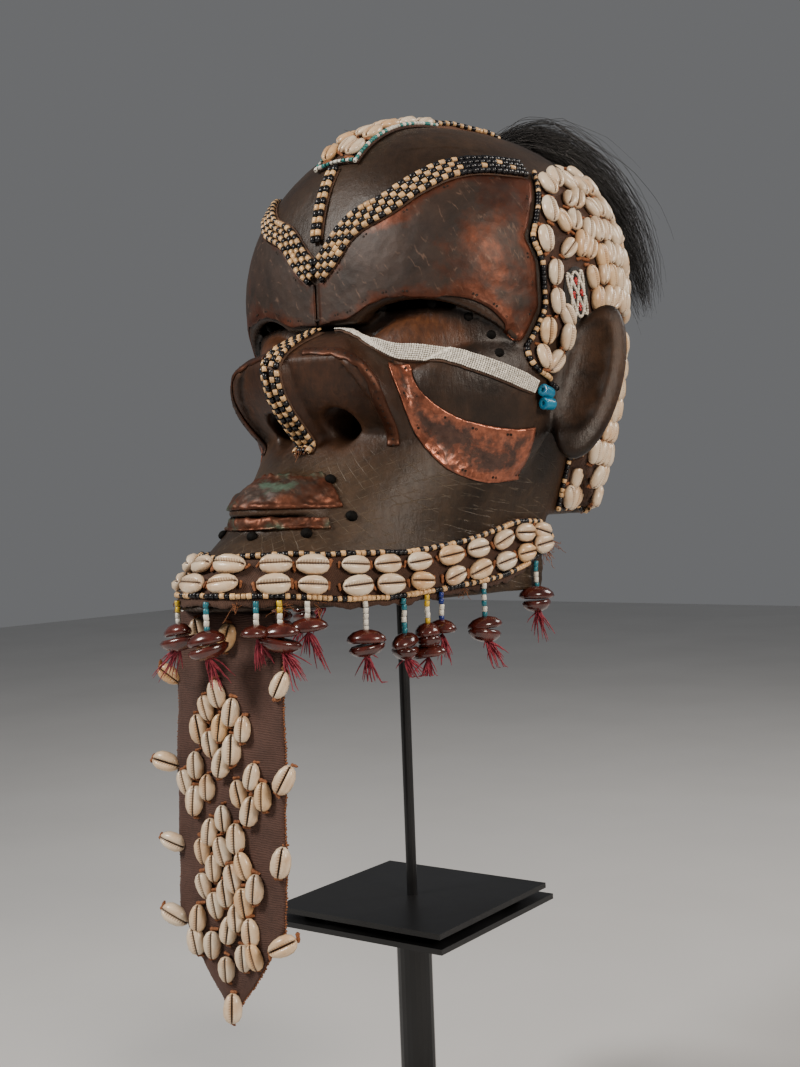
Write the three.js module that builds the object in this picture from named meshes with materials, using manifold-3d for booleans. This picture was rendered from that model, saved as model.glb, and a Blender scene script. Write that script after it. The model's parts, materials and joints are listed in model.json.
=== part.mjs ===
// A carved helmet mask with copper sheets, bead bands, cowrie cloths, a beard strap and a tuft of hair,
// held up by a painted steel stand. Millimetres, +Z up, the face looks along -Y, the origin is the
// middle of the stand's underside.
import * as THREE from "three";
import { mergeVertices } from "three/addons/utils/BufferGeometryUtils.js";
import Module from "manifold-3d";

const wasm = await Module();
wasm.setup();

// Driving dimensions of the mask
const MASK_HEIGHT = 358; // rim of the jaw to the crown
const WALL = 13; // thickness of the carved wood
const SKIN_GAP = 0.45; // clearance between the wood and what is fixed on it
const COPPER = 1.2; // thickness of the copper sheet with its folded edge
const CLOTH = 2.4; // thickness of the backing cloth
const BEAD = 3.2; // diameter of the small beads, and so the height of a bead band
const COWRIE_LENGTH = 20;
const COWRIE_WIDTH = 13.5;
const COWRIE_HEIGHT = 6.5;
const COWRIE_SUNK = 1; // depth of its foot in the cloth
const SEED_LENGTH = 27;
const SEED_WIDTH = 19;
const SEED_HEIGHT = 9;
const PENDANT_STRING = 24; // bead string of a pendant
const TASSEL_LENGTH = 22;
const BEARD_LENGTH = 266; // below the rim
const BEARD_WIDTH = 104;
const PEG_DIAMETER = 7;
const BLUE_BEAD = 7;
const BLUE_BEAD_LENGTH = 9;
const NOSTRIL_WIDTH = 22;
const NOSTRIL_HEIGHT = 30;

// Driving dimensions of the stand
const FOOT_SIZE = 220;
const FOOT_THICKNESS = 8;
const POST_DIAMETER = 26.9;
const POST_WALL = 2.6;
const LOWER_PLATE = 158;
const UPPER_PLATE = 150;
const PLATE_THICKNESS = 4;
const PLATE_SPACE = 5; // between the two plates
const SPACER_DIAMETER = 14;
const PLATE_TOP = 208; // top of the upper plate above the ground
const ROD_DIAMETER = 8;
const ROD_SHOWS = 234; // upper plate to the rim of the mask
const SADDLE_DIAMETER = 56;
const SADDLE_THICKNESS = 6;
const SADDLE_GAP = 0.6;
const STAND_TURN = 4.75; // degrees that the plates are turned against the mask

const RIM = PLATE_TOP + ROD_SHOWS;
const UNIT = MASK_HEIGHT / 358; // the carving below is given at this nominal height
const rad = THREE.MathUtils.degToRad;
const V = (x, y, z) => new THREE.Vector3(x, y, z);

const FINISH = {
  wood: { color: 0x3a2a20, roughness: 0.62, metalness: 0 },
  copper: { color: 0x7a4028, roughness: 0.42, metalness: 0.9 },
  beads: { color: 0xc99a62, roughness: 0.35, metalness: 0 },
  white_beads: { color: 0xe4ddcc, roughness: 0.4, metalness: 0 },
  blue_glass: { color: 0x1f7fa6, roughness: 0.2, metalness: 0 },
  cloth: { color: 0x4a2e20, roughness: 0.95, metalness: 0 },
  hair: { color: 0x0c0b0b, roughness: 0.6, metalness: 0 },
  pendants: { color: 0x4a1510, roughness: 0.3, metalness: 0 },
  pegs: { color: 0x0e0c0b, roughness: 0.8, metalness: 0 },
  steel: { color: 0x0d0d0e, roughness: 0.5, metalness: 0.2 },
};
const materials = Object.fromEntries(
  Object.entries(FINISH).map(([name, look]) => [name, new THREE.MeshStandardMaterial(look)]),
);

const mask = new THREE.Group();
const addPiece = (group, name, finish, geometry) => {
  const mesh = new THREE.Mesh(geometry, materials[finish]);
  mesh.name = name;
  group.add(mesh);
  return mesh;
};

// Joining and cutting of closed solids
function solidOf(geometry) {
  const bare = new THREE.BufferGeometry();
  bare.setAttribute("position", geometry.getAttribute("position"));
  if (geometry.index) bare.setIndex(geometry.index);
  const merged = mergeVertices(bare, 1e-3);
  return new wasm.Manifold(
    new wasm.Mesh({
      numProp: 3,
      vertProperties: new Float32Array(merged.attributes.position.array),
      triVerts: new Uint32Array(merged.index.array),
    }),
  );
}
function geometryOf(solid) {
  const mesh = solid.getMesh();
  const geometry = new THREE.BufferGeometry();
  const points = new Float32Array(mesh.numVert * 3);
  for (let i = 0; i < mesh.numVert; i++)
    for (let k = 0; k < 3; k++) points[3 * i + k] = mesh.vertProperties[i * mesh.numProp + k];
  geometry.setAttribute("position", new THREE.BufferAttribute(points, 3));
  geometry.setIndex(new THREE.BufferAttribute(new Uint32Array(mesh.triVerts), 1));
  return geometry;
}
const largest = (solid) =>
  solid.decompose().reduce((best, part) => (part.volume() > best.volume() ? part : best));
function mirrored(geometry) {
  const twin = geometry.clone();
  twin.scale(-1, 1, 1);
  const order = twin.index.array;
  for (let i = 0; i < order.length; i += 3) [order[i + 1], order[i + 2]] = [order[i + 2], order[i + 1]];
  return twin;
}
// A closed slab between two grids of points, under and over
function slab(under, over) {
  const rows = under.length;
  const cols = under[0].length;
  const points = [...under.flat(), ...over.flat()];
  const low = (i, j) => i * cols + j;
  const high = (i, j) => rows * cols + i * cols + j;
  const faces = [];
  const quad = (a, b, c, d) => faces.push(a, b, c, a, c, d);
  for (let i = 0; i + 1 < rows; i++)
    for (let j = 0; j + 1 < cols; j++) {
      quad(high(i, j), high(i, j + 1), high(i + 1, j + 1), high(i + 1, j));
      quad(low(i, j), low(i + 1, j), low(i + 1, j + 1), low(i, j + 1));
    }
  for (let j = 0; j + 1 < cols; j++) {
    quad(low(0, j), low(0, j + 1), high(0, j + 1), high(0, j));
    quad(low(rows - 1, j + 1), low(rows - 1, j), high(rows - 1, j), high(rows - 1, j + 1));
  }
  for (let i = 0; i + 1 < rows; i++) {
    quad(low(i + 1, 0), low(i, 0), high(i, 0), high(i + 1, 0));
    quad(low(i, cols - 1), low(i + 1, cols - 1), high(i + 1, cols - 1), high(i, cols - 1));
  }
  const geometry = new THREE.BufferGeometry();
  geometry.setAttribute(
    "position",
    new THREE.BufferAttribute(new Float32Array(points.flatMap((p) => [p.x, p.y, p.z])), 3),
  );
  geometry.setIndex(faces);
  if (solidOf(geometry).volume() > 0) return geometry;
  const order = geometry.index.array;
  for (let i = 0; i < order.length; i += 3) [order[i + 1], order[i + 2]] = [order[i + 2], order[i + 1]];
  return geometry;
}

// The form of the carved head: below zero inside the wood. x is to the side, y back, z above the rim.
const clamp = THREE.MathUtils.clamp;
const ease = (t) => THREE.MathUtils.smoothstep(t, 0, 1);
function blendMin(a, b, width) {
  const h = Math.max(width - Math.abs(a - b), 0) / width;
  return Math.min(a, b) - (h * h * width) / 4;
}
const blendMax = (a, b, width) => -blendMin(-a, -b, width);
// A smooth line through stations [place, value, value, ...], without overshoot
function along(stations, place, column) {
  const n = stations.length;
  const p = clamp(place, stations[0][0], stations[n - 1][0]);
  let i = 0;
  while (i < n - 2 && p > stations[i + 1][0]) i++;
  const slope = (k) =>
    (stations[k + 1][column] - stations[k][column]) / (stations[k + 1][0] - stations[k][0]);
  const tangent = (k) => {
    if (k === 0) return slope(0);
    if (k === n - 1) return slope(n - 2);
    const [a, b] = [slope(k - 1), slope(k)];
    return a * b > 0 ? (2 * a * b) / (a + b) : 0;
  };
  const span = stations[i + 1][0] - stations[i][0];
  const t = (p - stations[i][0]) / span;
  return (
    (2 * t ** 3 - 3 * t * t + 1) * stations[i][column] +
    (t ** 3 - 2 * t * t + t) * span * tangent(i) +
    (3 * t * t - 2 * t ** 3) * stations[i + 1][column] +
    (t ** 3 - t * t) * span * tangent(i + 1)
  );
}
const SKULL = { middle: 52, level: 232, half: 140, front: 133, back: 132, top: 125, bottom: 287 };
const SKULL_TILT = 0.05; // the crown rises a little towards the back
const SKULL_BOXY = 2.45; // from above and from the side
const SKULL_ROUND = 1.95; // from the front
const FORM_SCALE = 120; // turns the shapes' ratios into lengths
function skullForm(x, y, z) {
  const height = z - SKULL_TILT * (y - SKULL.middle) - SKULL.level;
  const depth = y < SKULL.middle ? SKULL.front : SKULL.back;
  const rise = height > 0 ? SKULL.top : SKULL.bottom;
  const arch = Math.abs(x / SKULL.half) ** SKULL_ROUND + Math.abs(height / rise) ** SKULL_ROUND;
  const whole = arch ** (SKULL_BOXY / SKULL_ROUND) + Math.abs((y - SKULL.middle) / depth) ** SKULL_BOXY;
  return (whole ** (1 / SKULL_BOXY) - 1) * FORM_SCALE;
}
// Height of the brow's lower edge: an arch over each eye
const BROW = { low: 161, rise: 47, eye: 72, reach: 56, middle: 195 };
function browEdge(x, y) {
  const side = (Math.abs(x) - BROW.eye) / BROW.reach;
  let edge = BROW.low + BROW.rise * Math.sqrt(clamp(1 - side * side, 0, 1));
  if (Math.abs(x) < BROW.eye) edge = Math.max(edge, BROW.middle);
  return edge - Math.max(y + 8, 0) * 1.2;
}
// Jaw and face: height, front of the middle line, half width
const FACE = [
  [-12, -212, 103],
  [6, -206, 102],
  [20, -195, 101],
  [36, -178, 100],
  [48, -161, 101],
  [60, -147, 104],
  [78, -128, 109],
  [98, -108, 115],
  [118, -91, 121],
  [158, -73, 131],
  [203, -64, 138],
];
const FACE_MIDDLE = 40;
const FACE_TOP = 210;
function faceForm(x, y, z) {
  const boxy = 2 + 0.4 * ease((z - 98) / 60);
  const depth = y < FACE_MIDDLE ? FACE_MIDDLE - along(FACE, z, 1) : 134 - Math.max(0, 118 - z) * 0.2;
  const whole = Math.abs(x / along(FACE, z, 2)) ** boxy + Math.abs((y - FACE_MIDDLE) / depth) ** boxy;
  return Math.max((whole ** (1 / boxy) - 1) * FORM_SCALE, z - FACE_TOP);
}
// A turned egg: centre, half sizes, and the way it faces (degrees round, up and rolled)
function egg(centre, half, [round, up, roll]) {
  const n = V(Math.sin(rad(round)) * Math.cos(rad(up)), -Math.cos(rad(round)) * Math.cos(rad(up)), Math.sin(rad(up)));
  const across = V(Math.cos(rad(round)), Math.sin(rad(round)), 0);
  const upward = across.clone().cross(n);
  const u = across.clone().multiplyScalar(Math.cos(rad(roll))).addScaledVector(upward, Math.sin(rad(roll)));
  const v = across.clone().multiplyScalar(-Math.sin(rad(roll))).addScaledVector(upward, Math.cos(rad(roll)));
  return (x, y, z) => {
    const d = V(x - centre[0], y - centre[1], z - centre[2]);
    const [a, b, c] = [d.dot(u), d.dot(n), d.dot(v)];
    const near = Math.hypot(a / half[0], b / half[1], c / half[2]);
    const steep = Math.hypot(a / half[0] ** 2, b / half[1] ** 2, c / half[2] ** 2);
    return (near * (near - 1)) / (steep + 1e-9);
  };
}
const cheek = egg([86, -26, 123], [62, 25, 52], [48, -16, -10]);
const lowerLid = egg([98, -30, 144], [56, 18, 35], [52, -6, -17]);
const upperLid = egg([73, -45, 175], [50, 18, 26], [42, 8, -12]);
const upperLip = egg([0, -110, 59], [46, 51, 31], [0, 0, 0]);
const lowerLip = egg([0, -110, 56], [43, 49, 11], [0, 0, 0]);
const LIP_LINE = 60;
// Nose: height, front of its ridge, half width
const NOSE = [
  [96, -86, 56],
  [106, -94, 66],
  [118, -106, 71],
  [135, -122, 73],
  [150, -131, 69],
  [162, -134, 62],
  [172, -126, 51],
  [180, -112, 40],
  [188, -92, 28],
  [194, -76, 14],
];
const NOSE_SPAN = [98, 192];
const NOSE_RECESS = 5.5; // how far the front panels lie behind their raised edge
function noseForm(x, y, z) {
  const half = along(NOSE, z, 2);
  const front = along(NOSE, z, 1) + 0.38 * x - y;
  const side = (x - (half - 0.12 * front)) * 0.8;
  const recess = NOSE_RECESS * ease((half - 9 - x) / 5) * ease((x - 8) / 5) * ease((170 - z) / 8);
  const body = blendMax(blendMax((front + recess) * 0.85, side, 5), NOSE_SPAN[0] - z, 5);
  return blendMax(body, Math.max(z - NOSE_SPAN[1], y + 30), 4);
}
function headForm(px, py, pz) {
  const [x, y, z] = [Math.abs(px / UNIT), py / UNIT, pz / UNIT];
  const skull = blendMax(skullForm(x, y, z), browEdge(x, y) - z, 4);
  let face = blendMin(faceForm(x, y, z), cheek(x, y, z), 3);
  face = blendMin(face, lowerLid(x, y, z), 1.5);
  face = blendMin(face, upperLid(x, y, z), 1.5);
  face = blendMin(skull, face, 3);
  const lips = Math.min(
    blendMax(upperLip(x, y, z), LIP_LINE + 1 - z, 3),
    blendMax(lowerLip(x, y, z), z - LIP_LINE, 2),
  );
  return blendMin(face, blendMin(noseForm(x, y, z), lips, 4), 5) * UNIT;
}
const coreForm = (x, y, z) =>
  Math.min(blendMax(skullForm(x / UNIT, y / UNIT, z / UNIT), (190 - z / UNIT) / 2, 4), faceForm(x / UNIT, y / UNIT, z / UNIT)) * UNIT;

// Places on the head: degrees round from the nose, and rise, which runs on over the crown as an arc
const MIDDLE = SKULL.middle * UNIT;
const EQUATOR = SKULL.level * UNIT;
const ARC = SKULL.top * UNIT;
const CROWN = EQUATOR + (ARC * Math.PI) / 2;
const REACH = 330 * UNIT;
function rayAt(around, rise) {
  const over = clamp((rise - EQUATOR) / ARC, 0, Math.PI / 2);
  const from = V(0, MIDDLE, Math.min(rise, EQUATOR));
  const flat = Math.cos(over);
  return [from, V(Math.sin(rad(around)) * flat, -Math.cos(rad(around)) * flat, Math.sin(over))];
}
function meet(form, from, direction) {
  const at = (t) => form(...from.clone().addScaledVector(direction, t).toArray());
  let outer = REACH;
  while (outer > 3 && at(outer) > 0) outer -= 3;
  let [inside, outside] = [outer, outer + 3];
  for (let k = 0; k < 14; k++) {
    const half = (inside + outside) / 2;
    if (at(half) > 0) outside = half;
    else inside = half;
  }
  return from.clone().addScaledVector(direction, inside);
}
function normalAt(p, form = headForm) {
  const e = 0.6;
  return V(
    form(p.x + e, p.y, p.z) - form(p.x - e, p.y, p.z),
    form(p.x, p.y + e, p.z) - form(p.x, p.y - e, p.z),
    form(p.x, p.y, p.z + e) - form(p.x, p.y, p.z - e),
  ).divideScalar(2 * e);
}
// Brings a point near the wood to a set height over it
function settle(p, proud) {
  const q = p.clone();
  for (let k = 0; k < 8; k++) {
    const slope = normalAt(q);
    q.addScaledVector(slope, (-0.8 * headForm(q.x, q.y, q.z)) / Math.max(slope.lengthSq(), 0.2));
  }
  return q.addScaledVector(normalAt(q).normalize(), proud);
}
const onHead = (around, rise, proud) => settle(meet(headForm, ...rayAt(around, rise * UNIT)), proud);

// A closed loft round the head, from the rim to the crown
function headLoft(form, columns, rises, proud, floor) {
  const bare = rises.map((rise) => columns.map((around) => meet(form, ...rayAt(around, rise))));
  const rings = bare.map((ring) => ring.map((p) => p.clone().addScaledVector(normalAt(p, form).normalize(), proud)));
  if (floor !== undefined) {
    bare.unshift(bare[0]);
    rings.unshift(rings[0].map((p) => V(p.x, p.y, floor)));
  }
  const top = meet(form, ...rayAt(0, CROWN)).add(V(0, 0, proud));
  const points = [...rings.flat(), top, V(0, MIDDLE, rings[0][0].z)];
  const flat = bare.flat();
  const n = columns.length;
  const faces = [];
  for (let i = 0; i + 1 < rings.length; i++)
    for (let j = 0; j < n; j++) {
      const [a, b] = [i * n + j, i * n + ((j + 1) % n)];
      const nearer = flat[a].distanceTo(flat[b + n]) < flat[b].distanceTo(flat[a + n]);
      if (nearer) faces.push(a, b, b + n, a, b + n, a + n);
      else faces.push(a, b, a + n, b, b + n, a + n);
    }
  const last = (rings.length - 1) * n;
  const topIndex = rings.length * n;
  for (let j = 0; j < n; j++) {
    faces.push(last + j, last + ((j + 1) % n), topIndex);
    faces.push((j + 1) % n, j, topIndex + 1);
  }
  const geometry = new THREE.BufferGeometry();
  geometry.setAttribute(
    "position",
    new THREE.BufferAttribute(new Float32Array(points.flatMap((p) => [p.x, p.y, p.z])), 3),
  );
  geometry.setIndex(faces);
  return solidOf(geometry);
}
const HEAD_COLUMNS = 38; // closer together at the face
const HEAD_STEP = 10.2;
const CROWN_STEP = 25;
const columnsOf = (count) =>
  Array.from({ length: count }, (_, i) => {
    const t = (2 * (i + 0.5)) / count - 1;
    return 180 * (0.43 * t + 0.57 * t ** 3);
  });
function risesOf(step, crownStep) {
  const rises = [];
  for (let rise = 0; rise < FACE_TOP * UNIT; rise += step * UNIT) rises.push(rise);
  for (let rise = EQUATOR; rise < CROWN - crownStep / 2; rise += crownStep * UNIT) rises.push(rise);
  return rises;
}
const EAR = { centre: [147.5, 36.5, 149], width: 55, height: 118, thickness: 12, hollow: 6 };
function earSolid(grow) {
  const half = EAR.width / 2;
  const deep = EAR.thickness / 2;
  const profile = [
    [0, -deep - grow],
    [half * 0.72, -deep * 0.8 - grow],
    [half + grow, deep * 0.3],
    [half * 0.72, deep + grow],
    [half * 0.48, deep - EAR.hollow * 0.7 + grow],
    [0, deep - EAR.hollow + grow],
  ].map(([r, h]) => new THREE.Vector2(r, h));
  const dish = new THREE.LatheGeometry(profile, 14);
  const up = V(13, 40, 108).normalize();
  const out = V(0.8, 0.6, 0).addScaledVector(up, -V(0.8, 0.6, 0).dot(up)).normalize();
  const facing = out.clone().cross(up);
  const basis = new THREE.Matrix4().makeBasis(out, facing, up.clone().negate());
  dish.applyMatrix4(new THREE.Matrix4().makeScale(1, 1, (EAR.height + 2 * grow) / (EAR.width + 2 * grow)));
  dish.applyMatrix4(basis);
  dish.translate(...EAR.centre);
  dish.scale(UNIT, UNIT, UNIT);
  const one = solidOf(dish);
  const solid = one.volume() < 0 ? solidOf(turnedInsideOut(dish)) : one;
  return solid;
}
function turnedInsideOut(geometry) {
  const order = geometry.index.array;
  for (let i = 0; i < order.length; i += 3) [order[i + 1], order[i + 2]] = [order[i + 2], order[i + 1]];
  return geometry;
}
// A closed shape seen from the side, [y, z], run right across the head
function sidePrism(outline, halfWidth) {
  const shape = new THREE.Shape(outline.map(([y, z]) => new THREE.Vector2(y, z)));
  const block = new THREE.ExtrudeGeometry(shape, { depth: 2 * halfWidth, bevelEnabled: false });
  block.translate(0, 0, -halfWidth);
  block.applyMatrix4(new THREE.Matrix4().makeBasis(V(0, 1, 0), V(0, 0, 1), V(1, 0, 0)));
  return solidOf(block);
}
// The rim is level under the jaw and steps up behind the collar's ends
const RIM_OUTLINE = [[-260, -40], [-260, 0], [40, 2], [52, 12], [60, 50], [230, 55], [230, -40]];
const rimCut = sidePrism(RIM_OUTLINE.map(([y, z]) => [y * UNIT, z * UNIT]), 200 * UNIT);
function nostrilSolid(side) {
  const bore = new THREE.CylinderGeometry(1, 1, 1, 10);
  const inward = V(0.1 * side, 0.9, 0.42).normalize();
  bore.scale(NOSTRIL_WIDTH / 2, 70 * UNIT, NOSTRIL_HEIGHT / 2);
  bore.applyQuaternion(new THREE.Quaternion().setFromUnitVectors(V(0, 1, 0), inward));
  bore.translate(29 * side * UNIT, -92 * UNIT, 124 * UNIT);
  return solidOf(bore);
}

const rises = risesOf(HEAD_STEP, CROWN_STEP);
const columns = columnsOf(HEAD_COLUMNS);
const hollow = headLoft(coreForm, columnsOf(24), risesOf(40, 44), -WALL, -30);
const outerHead = headLoft(headForm, columns, rises, 0);
const ears = [earSolid(0), solidOf(mirrored(geometryOf(earSolid(0))))];
let carved = outerHead.add(ears[0]).add(ears[1]).subtract(hollow).subtract(rimCut);
carved = carved.subtract(nostrilSolid(1)).subtract(nostrilSolid(-1));
addPiece(mask, "carved_helmet", "wood", geometryOf(largest(carved)));

// What is fixed on the wood is cut back from this slightly larger head
const grownEar = earSolid(SKIN_GAP);
const keepOut = headLoft(headForm, columns, rises, SKIN_GAP)
  .add(outerHead)
  .add(grownEar)
  .add(solidOf(mirrored(geometryOf(grownEar))));
const fitted = (geometry) => geometryOf(largest(solidOf(geometry).subtract(keepOut)));
const LIFT = 1.7; // a sheet's underside over the true form, clear of the flat faces of the carving

// Evenly spread points along an edge given as [degrees round, rise]
function edgePoints(edge, steps) {
  const marks = edge.map((p, i) => [i / (edge.length - 1), p[0], p[1]]);
  return Array.from({ length: steps + 1 }, (_, i) =>
    onHead(along(marks, i / steps, 1), along(marks, i / steps, 2), 0),
  );
}
// A sheet between two rows of points on the head
function sheetBetween(lower, upper, up, thickness, lift = LIFT) {
  const grid = (proud) =>
    Array.from({ length: up + 1 }, (_, i) =>
      lower.map((p, j) => settle(p.clone().lerp(upper[j], i / up), proud)),
    );
  return slab(grid(lift), grid(lift + thickness));
}
// A band of one width along a path of [degrees round, rise]
function bandAlong(path, width, thickness, steps, lift = LIFT, lanes = 2) {
  const sides = Array.from({ length: lanes + 1 }, (_, k) => besidePath(path, (k / lanes - 0.5) * width, steps));
  const grid = (proud) => sides.map((side) => side.map((p) => settle(p, proud)));
  return slab(grid(lift), grid(lift + thickness));
}
// Points beside a path, off to the side by a distance
function besidePath(path, distance, steps) {
  const middle = edgePoints(path, steps);
  return middle.map((p, i) => {
    const ahead = middle[Math.min(i + 1, steps)].clone().sub(middle[Math.max(i - 1, 0)]);
    const sideways = normalAt(p).cross(ahead).normalize();
    return p.clone().addScaledVector(sideways, distance);
  });
}
function pair(name, finish, geometry) {
  addPiece(mask, name + "_left", finish, geometry);
  addPiece(mask, name + "_right", finish, mirrored(geometry));
}

// Copper over the brow, on the cheeks and on the lips
const BROW_EDGE = [[0.8, 198], [12, 199], [21, 208], [29, 211], [39, 209], [47, 203], [53, 191], [58.5, 171]];
const CHEEK_EDGE = [[25.5, 163], [28, 145], [30.5, 123], [34.5, 104], [42, 87], [55, 79], [67, 81]];
const LID_EDGE = [[31, 163], [33, 148], [38, 134], [47, 122], [57, 117], [62, 116], [68, 117]];
pair("cheek_copper", "copper", fitted(sheetBetween(edgePoints(CHEEK_EDGE, 8), edgePoints(LID_EDGE, 8), 2, COPPER)));
// The upper lip's sheet is a dome over the lip, spread from a point inside it
function lipSheet(heights, spread, lift) {
  const inside = V(0, -104, LIP_LINE - 4).multiplyScalar(UNIT);
  const grid = (proud) =>
    heights.map((height) =>
      Array.from({ length: 9 }, (_, j) => {
        const turn = rad(spread * (j / 4 - 1));
        const flat = Math.cos(rad(height));
        const way = V(Math.sin(turn) * flat, -Math.cos(turn) * flat, Math.sin(rad(height)));
        return settle(meet(headForm, inside, way), proud);
      }),
    );
  return slab(grid(lift), grid(lift + COPPER));
}
addPiece(mask, "upper_lip_copper", "copper", fitted(lipSheet([10, 22, 36, 50], 74, LIFT)));
addPiece(mask, "lower_lip_copper", "copper", fitted(lipSheet([-5, -1, 3], 62, LIFT + 0.6)));

// Raised strips round the nostril panels, and the bead bands
const RIM_PATH = [[6, 173], [12, 172], [19.5, 164], [23.5, 150], [25, 133], [26, 117], [26, 106]];
pair("nose_rim", "copper", fitted(bandAlong(RIM_PATH, 7, 2.4, 9, 0.8, 1)));
const BEAD_BAND = 19;
const V_PATH = [[4.6, 240], [14.5, 262], [25.5, 272], [34.4, 284], [46.9, 296], [59.7, 300], [73, 301]];
const CENTRE_PATH = [[0, 256], [0, 276], [0, 294], [0, 309]];
const BAND_STEPS = 9;
pair("brow_bead_band", "beads", fitted(bandAlong(V_PATH, BEAD_BAND, BEAD, BAND_STEPS, LIFT, 1)));
const BAND_GAP = 1.5;
const bandEdge = besidePath(V_PATH, -BEAD_BAND / 2 - BAND_GAP, BAND_STEPS);
const browSheet = sheetBetween(edgePoints(BROW_EDGE, BAND_STEPS), bandEdge, 4, COPPER, LIFT + 1);
pair("brow_copper", "copper", fitted(browSheet));
addPiece(mask, "centre_bead_band", "beads", fitted(bandAlong(CENTRE_PATH, 9, BEAD, 3, LIFT, 1)));
const NOSE_PATH = [[0, 190], [0, 183], [0, 172], [0, 160], [0, 146], [0, 132], [0, 118], [0, 104]];
addPiece(mask, "nose_bead_band", "beads", fitted(bandAlong(NOSE_PATH, 15, BEAD, 11, LIFT, 2)));
const EYE_PATH = [[8, 195], [16, 187], [22.6, 175], [28.2, 171.5], [35, 170], [44.7, 165], [54.4, 157], [67, 145]];
pair("eye_bead_band", "white_beads", fitted(bandAlong(EYE_PATH, 11, BEAD - 1, 10, LIFT, 1)));
[[68.4, 140.5], [71.4, 132.5]].forEach((place, i) => {
  const middle = onHead(...place, LIFT + BLUE_BEAD / 2 + 0.6);
  const bead = new THREE.CylinderGeometry(BLUE_BEAD / 2, BLUE_BEAD / 2, BLUE_BEAD_LENGTH, 8);
  const lie = new THREE.Vector3().crossVectors(normalAt(middle), V(0.35, 0, 1)).normalize();
  bead.applyQuaternion(new THREE.Quaternion().setFromUnitVectors(V(0, 1, 0), lie));
  bead.translate(...middle.toArray());
  pair("blue_bead_" + (i + 1), "blue_glass", geometryOf(solidOf(bead)));
});

// Cloth with cowries: each shell is a low roof whose foot is sunk in the cloth
function cowrieSolid(place, outward, lengthways) {
  const axis = lengthways.clone().addScaledVector(outward, -lengthways.dot(outward)).normalize();
  const side = outward.clone().cross(axis);
  const [l, w, h] = [COWRIE_LENGTH / 2, COWRIE_WIDTH / 2, COWRIE_HEIGHT];
  const foot = [[-1.12 * l, 0], [0, -1.12 * w], [1.12 * l, 0], [0, 1.12 * w]].map((c) => [...c, -COWRIE_SUNK]);
  const ridge = [[-l * 0.45, 0, h], [l * 0.45, 0, h]];
  const points = [...foot, ...ridge].map(([a, b, c]) =>
    place.clone().addScaledVector(axis, a).addScaledVector(side, b).addScaledVector(outward, c),
  );
  const geometry = new THREE.BufferGeometry();
  geometry.setAttribute(
    "position",
    new THREE.BufferAttribute(new Float32Array(points.flatMap((p) => [p.x, p.y, p.z])), 3),
  );
  geometry.setIndex([0, 1, 4, 1, 5, 4, 1, 2, 5, 2, 3, 5, 3, 4, 5, 3, 0, 4, 0, 3, 2, 0, 2, 1]);
  const solid = solidOf(geometry);
  return solid.volume() > 0 ? solid : solidOf(turnedInsideOut(geometry));
}
function withCowries(cloth, shells) {
  return geometryOf(largest(shells.reduce((sum, shell) => sum.add(shell), solidOf(cloth))));
}
const headCowrie = (around, rise, lift, turn) => {
  const place = onHead(around, rise, lift);
  const outward = normalAt(place).normalize();
  const level = V(0, 0, 1).cross(outward).normalize();
  const upward = outward.clone().cross(level);
  return cowrieSolid(
    place,
    outward,
    upward.multiplyScalar(Math.cos(rad(turn))).addScaledVector(level, Math.sin(rad(turn))),
  );
};

// Cap cloth round the back of the head; its front edge runs down before each ear
const CAP_FRONT = [
  [143, 79], [158, 66], [170, 64], [186, 68], [201, 71], [232, 70.5], [247, 67.5], [277, 74.5], [300, 79],
];
const CAP_BACK_BOTTOM = 197;
const CAP_TOP = [[0, 296], [0.15, 312], [0.5, 338]];
const capRow = (rise) => along(CAP_FRONT, rise, 1);
const CAP_COLUMNS = 16;
const CAP_ROWS = 7;
function capCloth() {
  const grid = (proud) =>
    Array.from({ length: CAP_ROWS + 1 }, (_, i) =>
      Array.from({ length: CAP_COLUMNS + 1 }, (_, j) => {
        const share = j / CAP_COLUMNS;
        const half = Math.min(share, 1 - share);
        const top = along(CAP_TOP, half, 1);
        const bottom = THREE.MathUtils.lerp(150, CAP_BACK_BOTTOM, ease(half / 0.07));
        const rise = THREE.MathUtils.lerp(bottom, top, i / CAP_ROWS);
        const front = capRow(rise);
        return onHead(THREE.MathUtils.lerp(front, 360 - front, share), rise, proud);
      }),
    );
  return fitted(slab(grid(LIFT), grid(LIFT + CLOTH)));
}
const capShells = [];
const CAP_COWRIE_ROWS = [220, 252, 284];
CAP_COWRIE_ROWS.forEach((rise, row) => {
  for (let k = 0; k < 5; k++) {
    const around = 86 + 17 * k + (row % 2) * 8;
    for (const side of [1, -1])
      if (around < 160) capShells.push(headCowrie(side * around, rise, LIFT + CLOTH, 20 * (k % 3) - 20));
  }
});
addPiece(mask, "cap_cloth", "cloth", withCowries(capCloth(), capShells));
const NECK_BOTTOM = 58;
const NECK_TOP = 194;
const NECK_FRONT = [[58, 96], [100, 97], [130, 108], [194, 108]]; // degrees round at a rise: it runs back behind the ear
const BACK_LIFT = 4.4; // cloth lies looser at the back
function neckCloth() {
  const grid = (proud) =>
    Array.from({ length: 6 }, (_, i) =>
      Array.from({ length: 17 }, (_, j) => {
        const rise = THREE.MathUtils.lerp(NECK_BOTTOM, NECK_TOP, i / 5);
        const front = along(NECK_FRONT, rise, 1);
        return onHead(THREE.MathUtils.lerp(front, 360 - front, j / 16), rise, proud);
      }),
    );
  return fitted(slab(grid(BACK_LIFT), grid(BACK_LIFT + CLOTH)));
}
addPiece(mask, "neck_cloth", "cloth", neckCloth());

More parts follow.
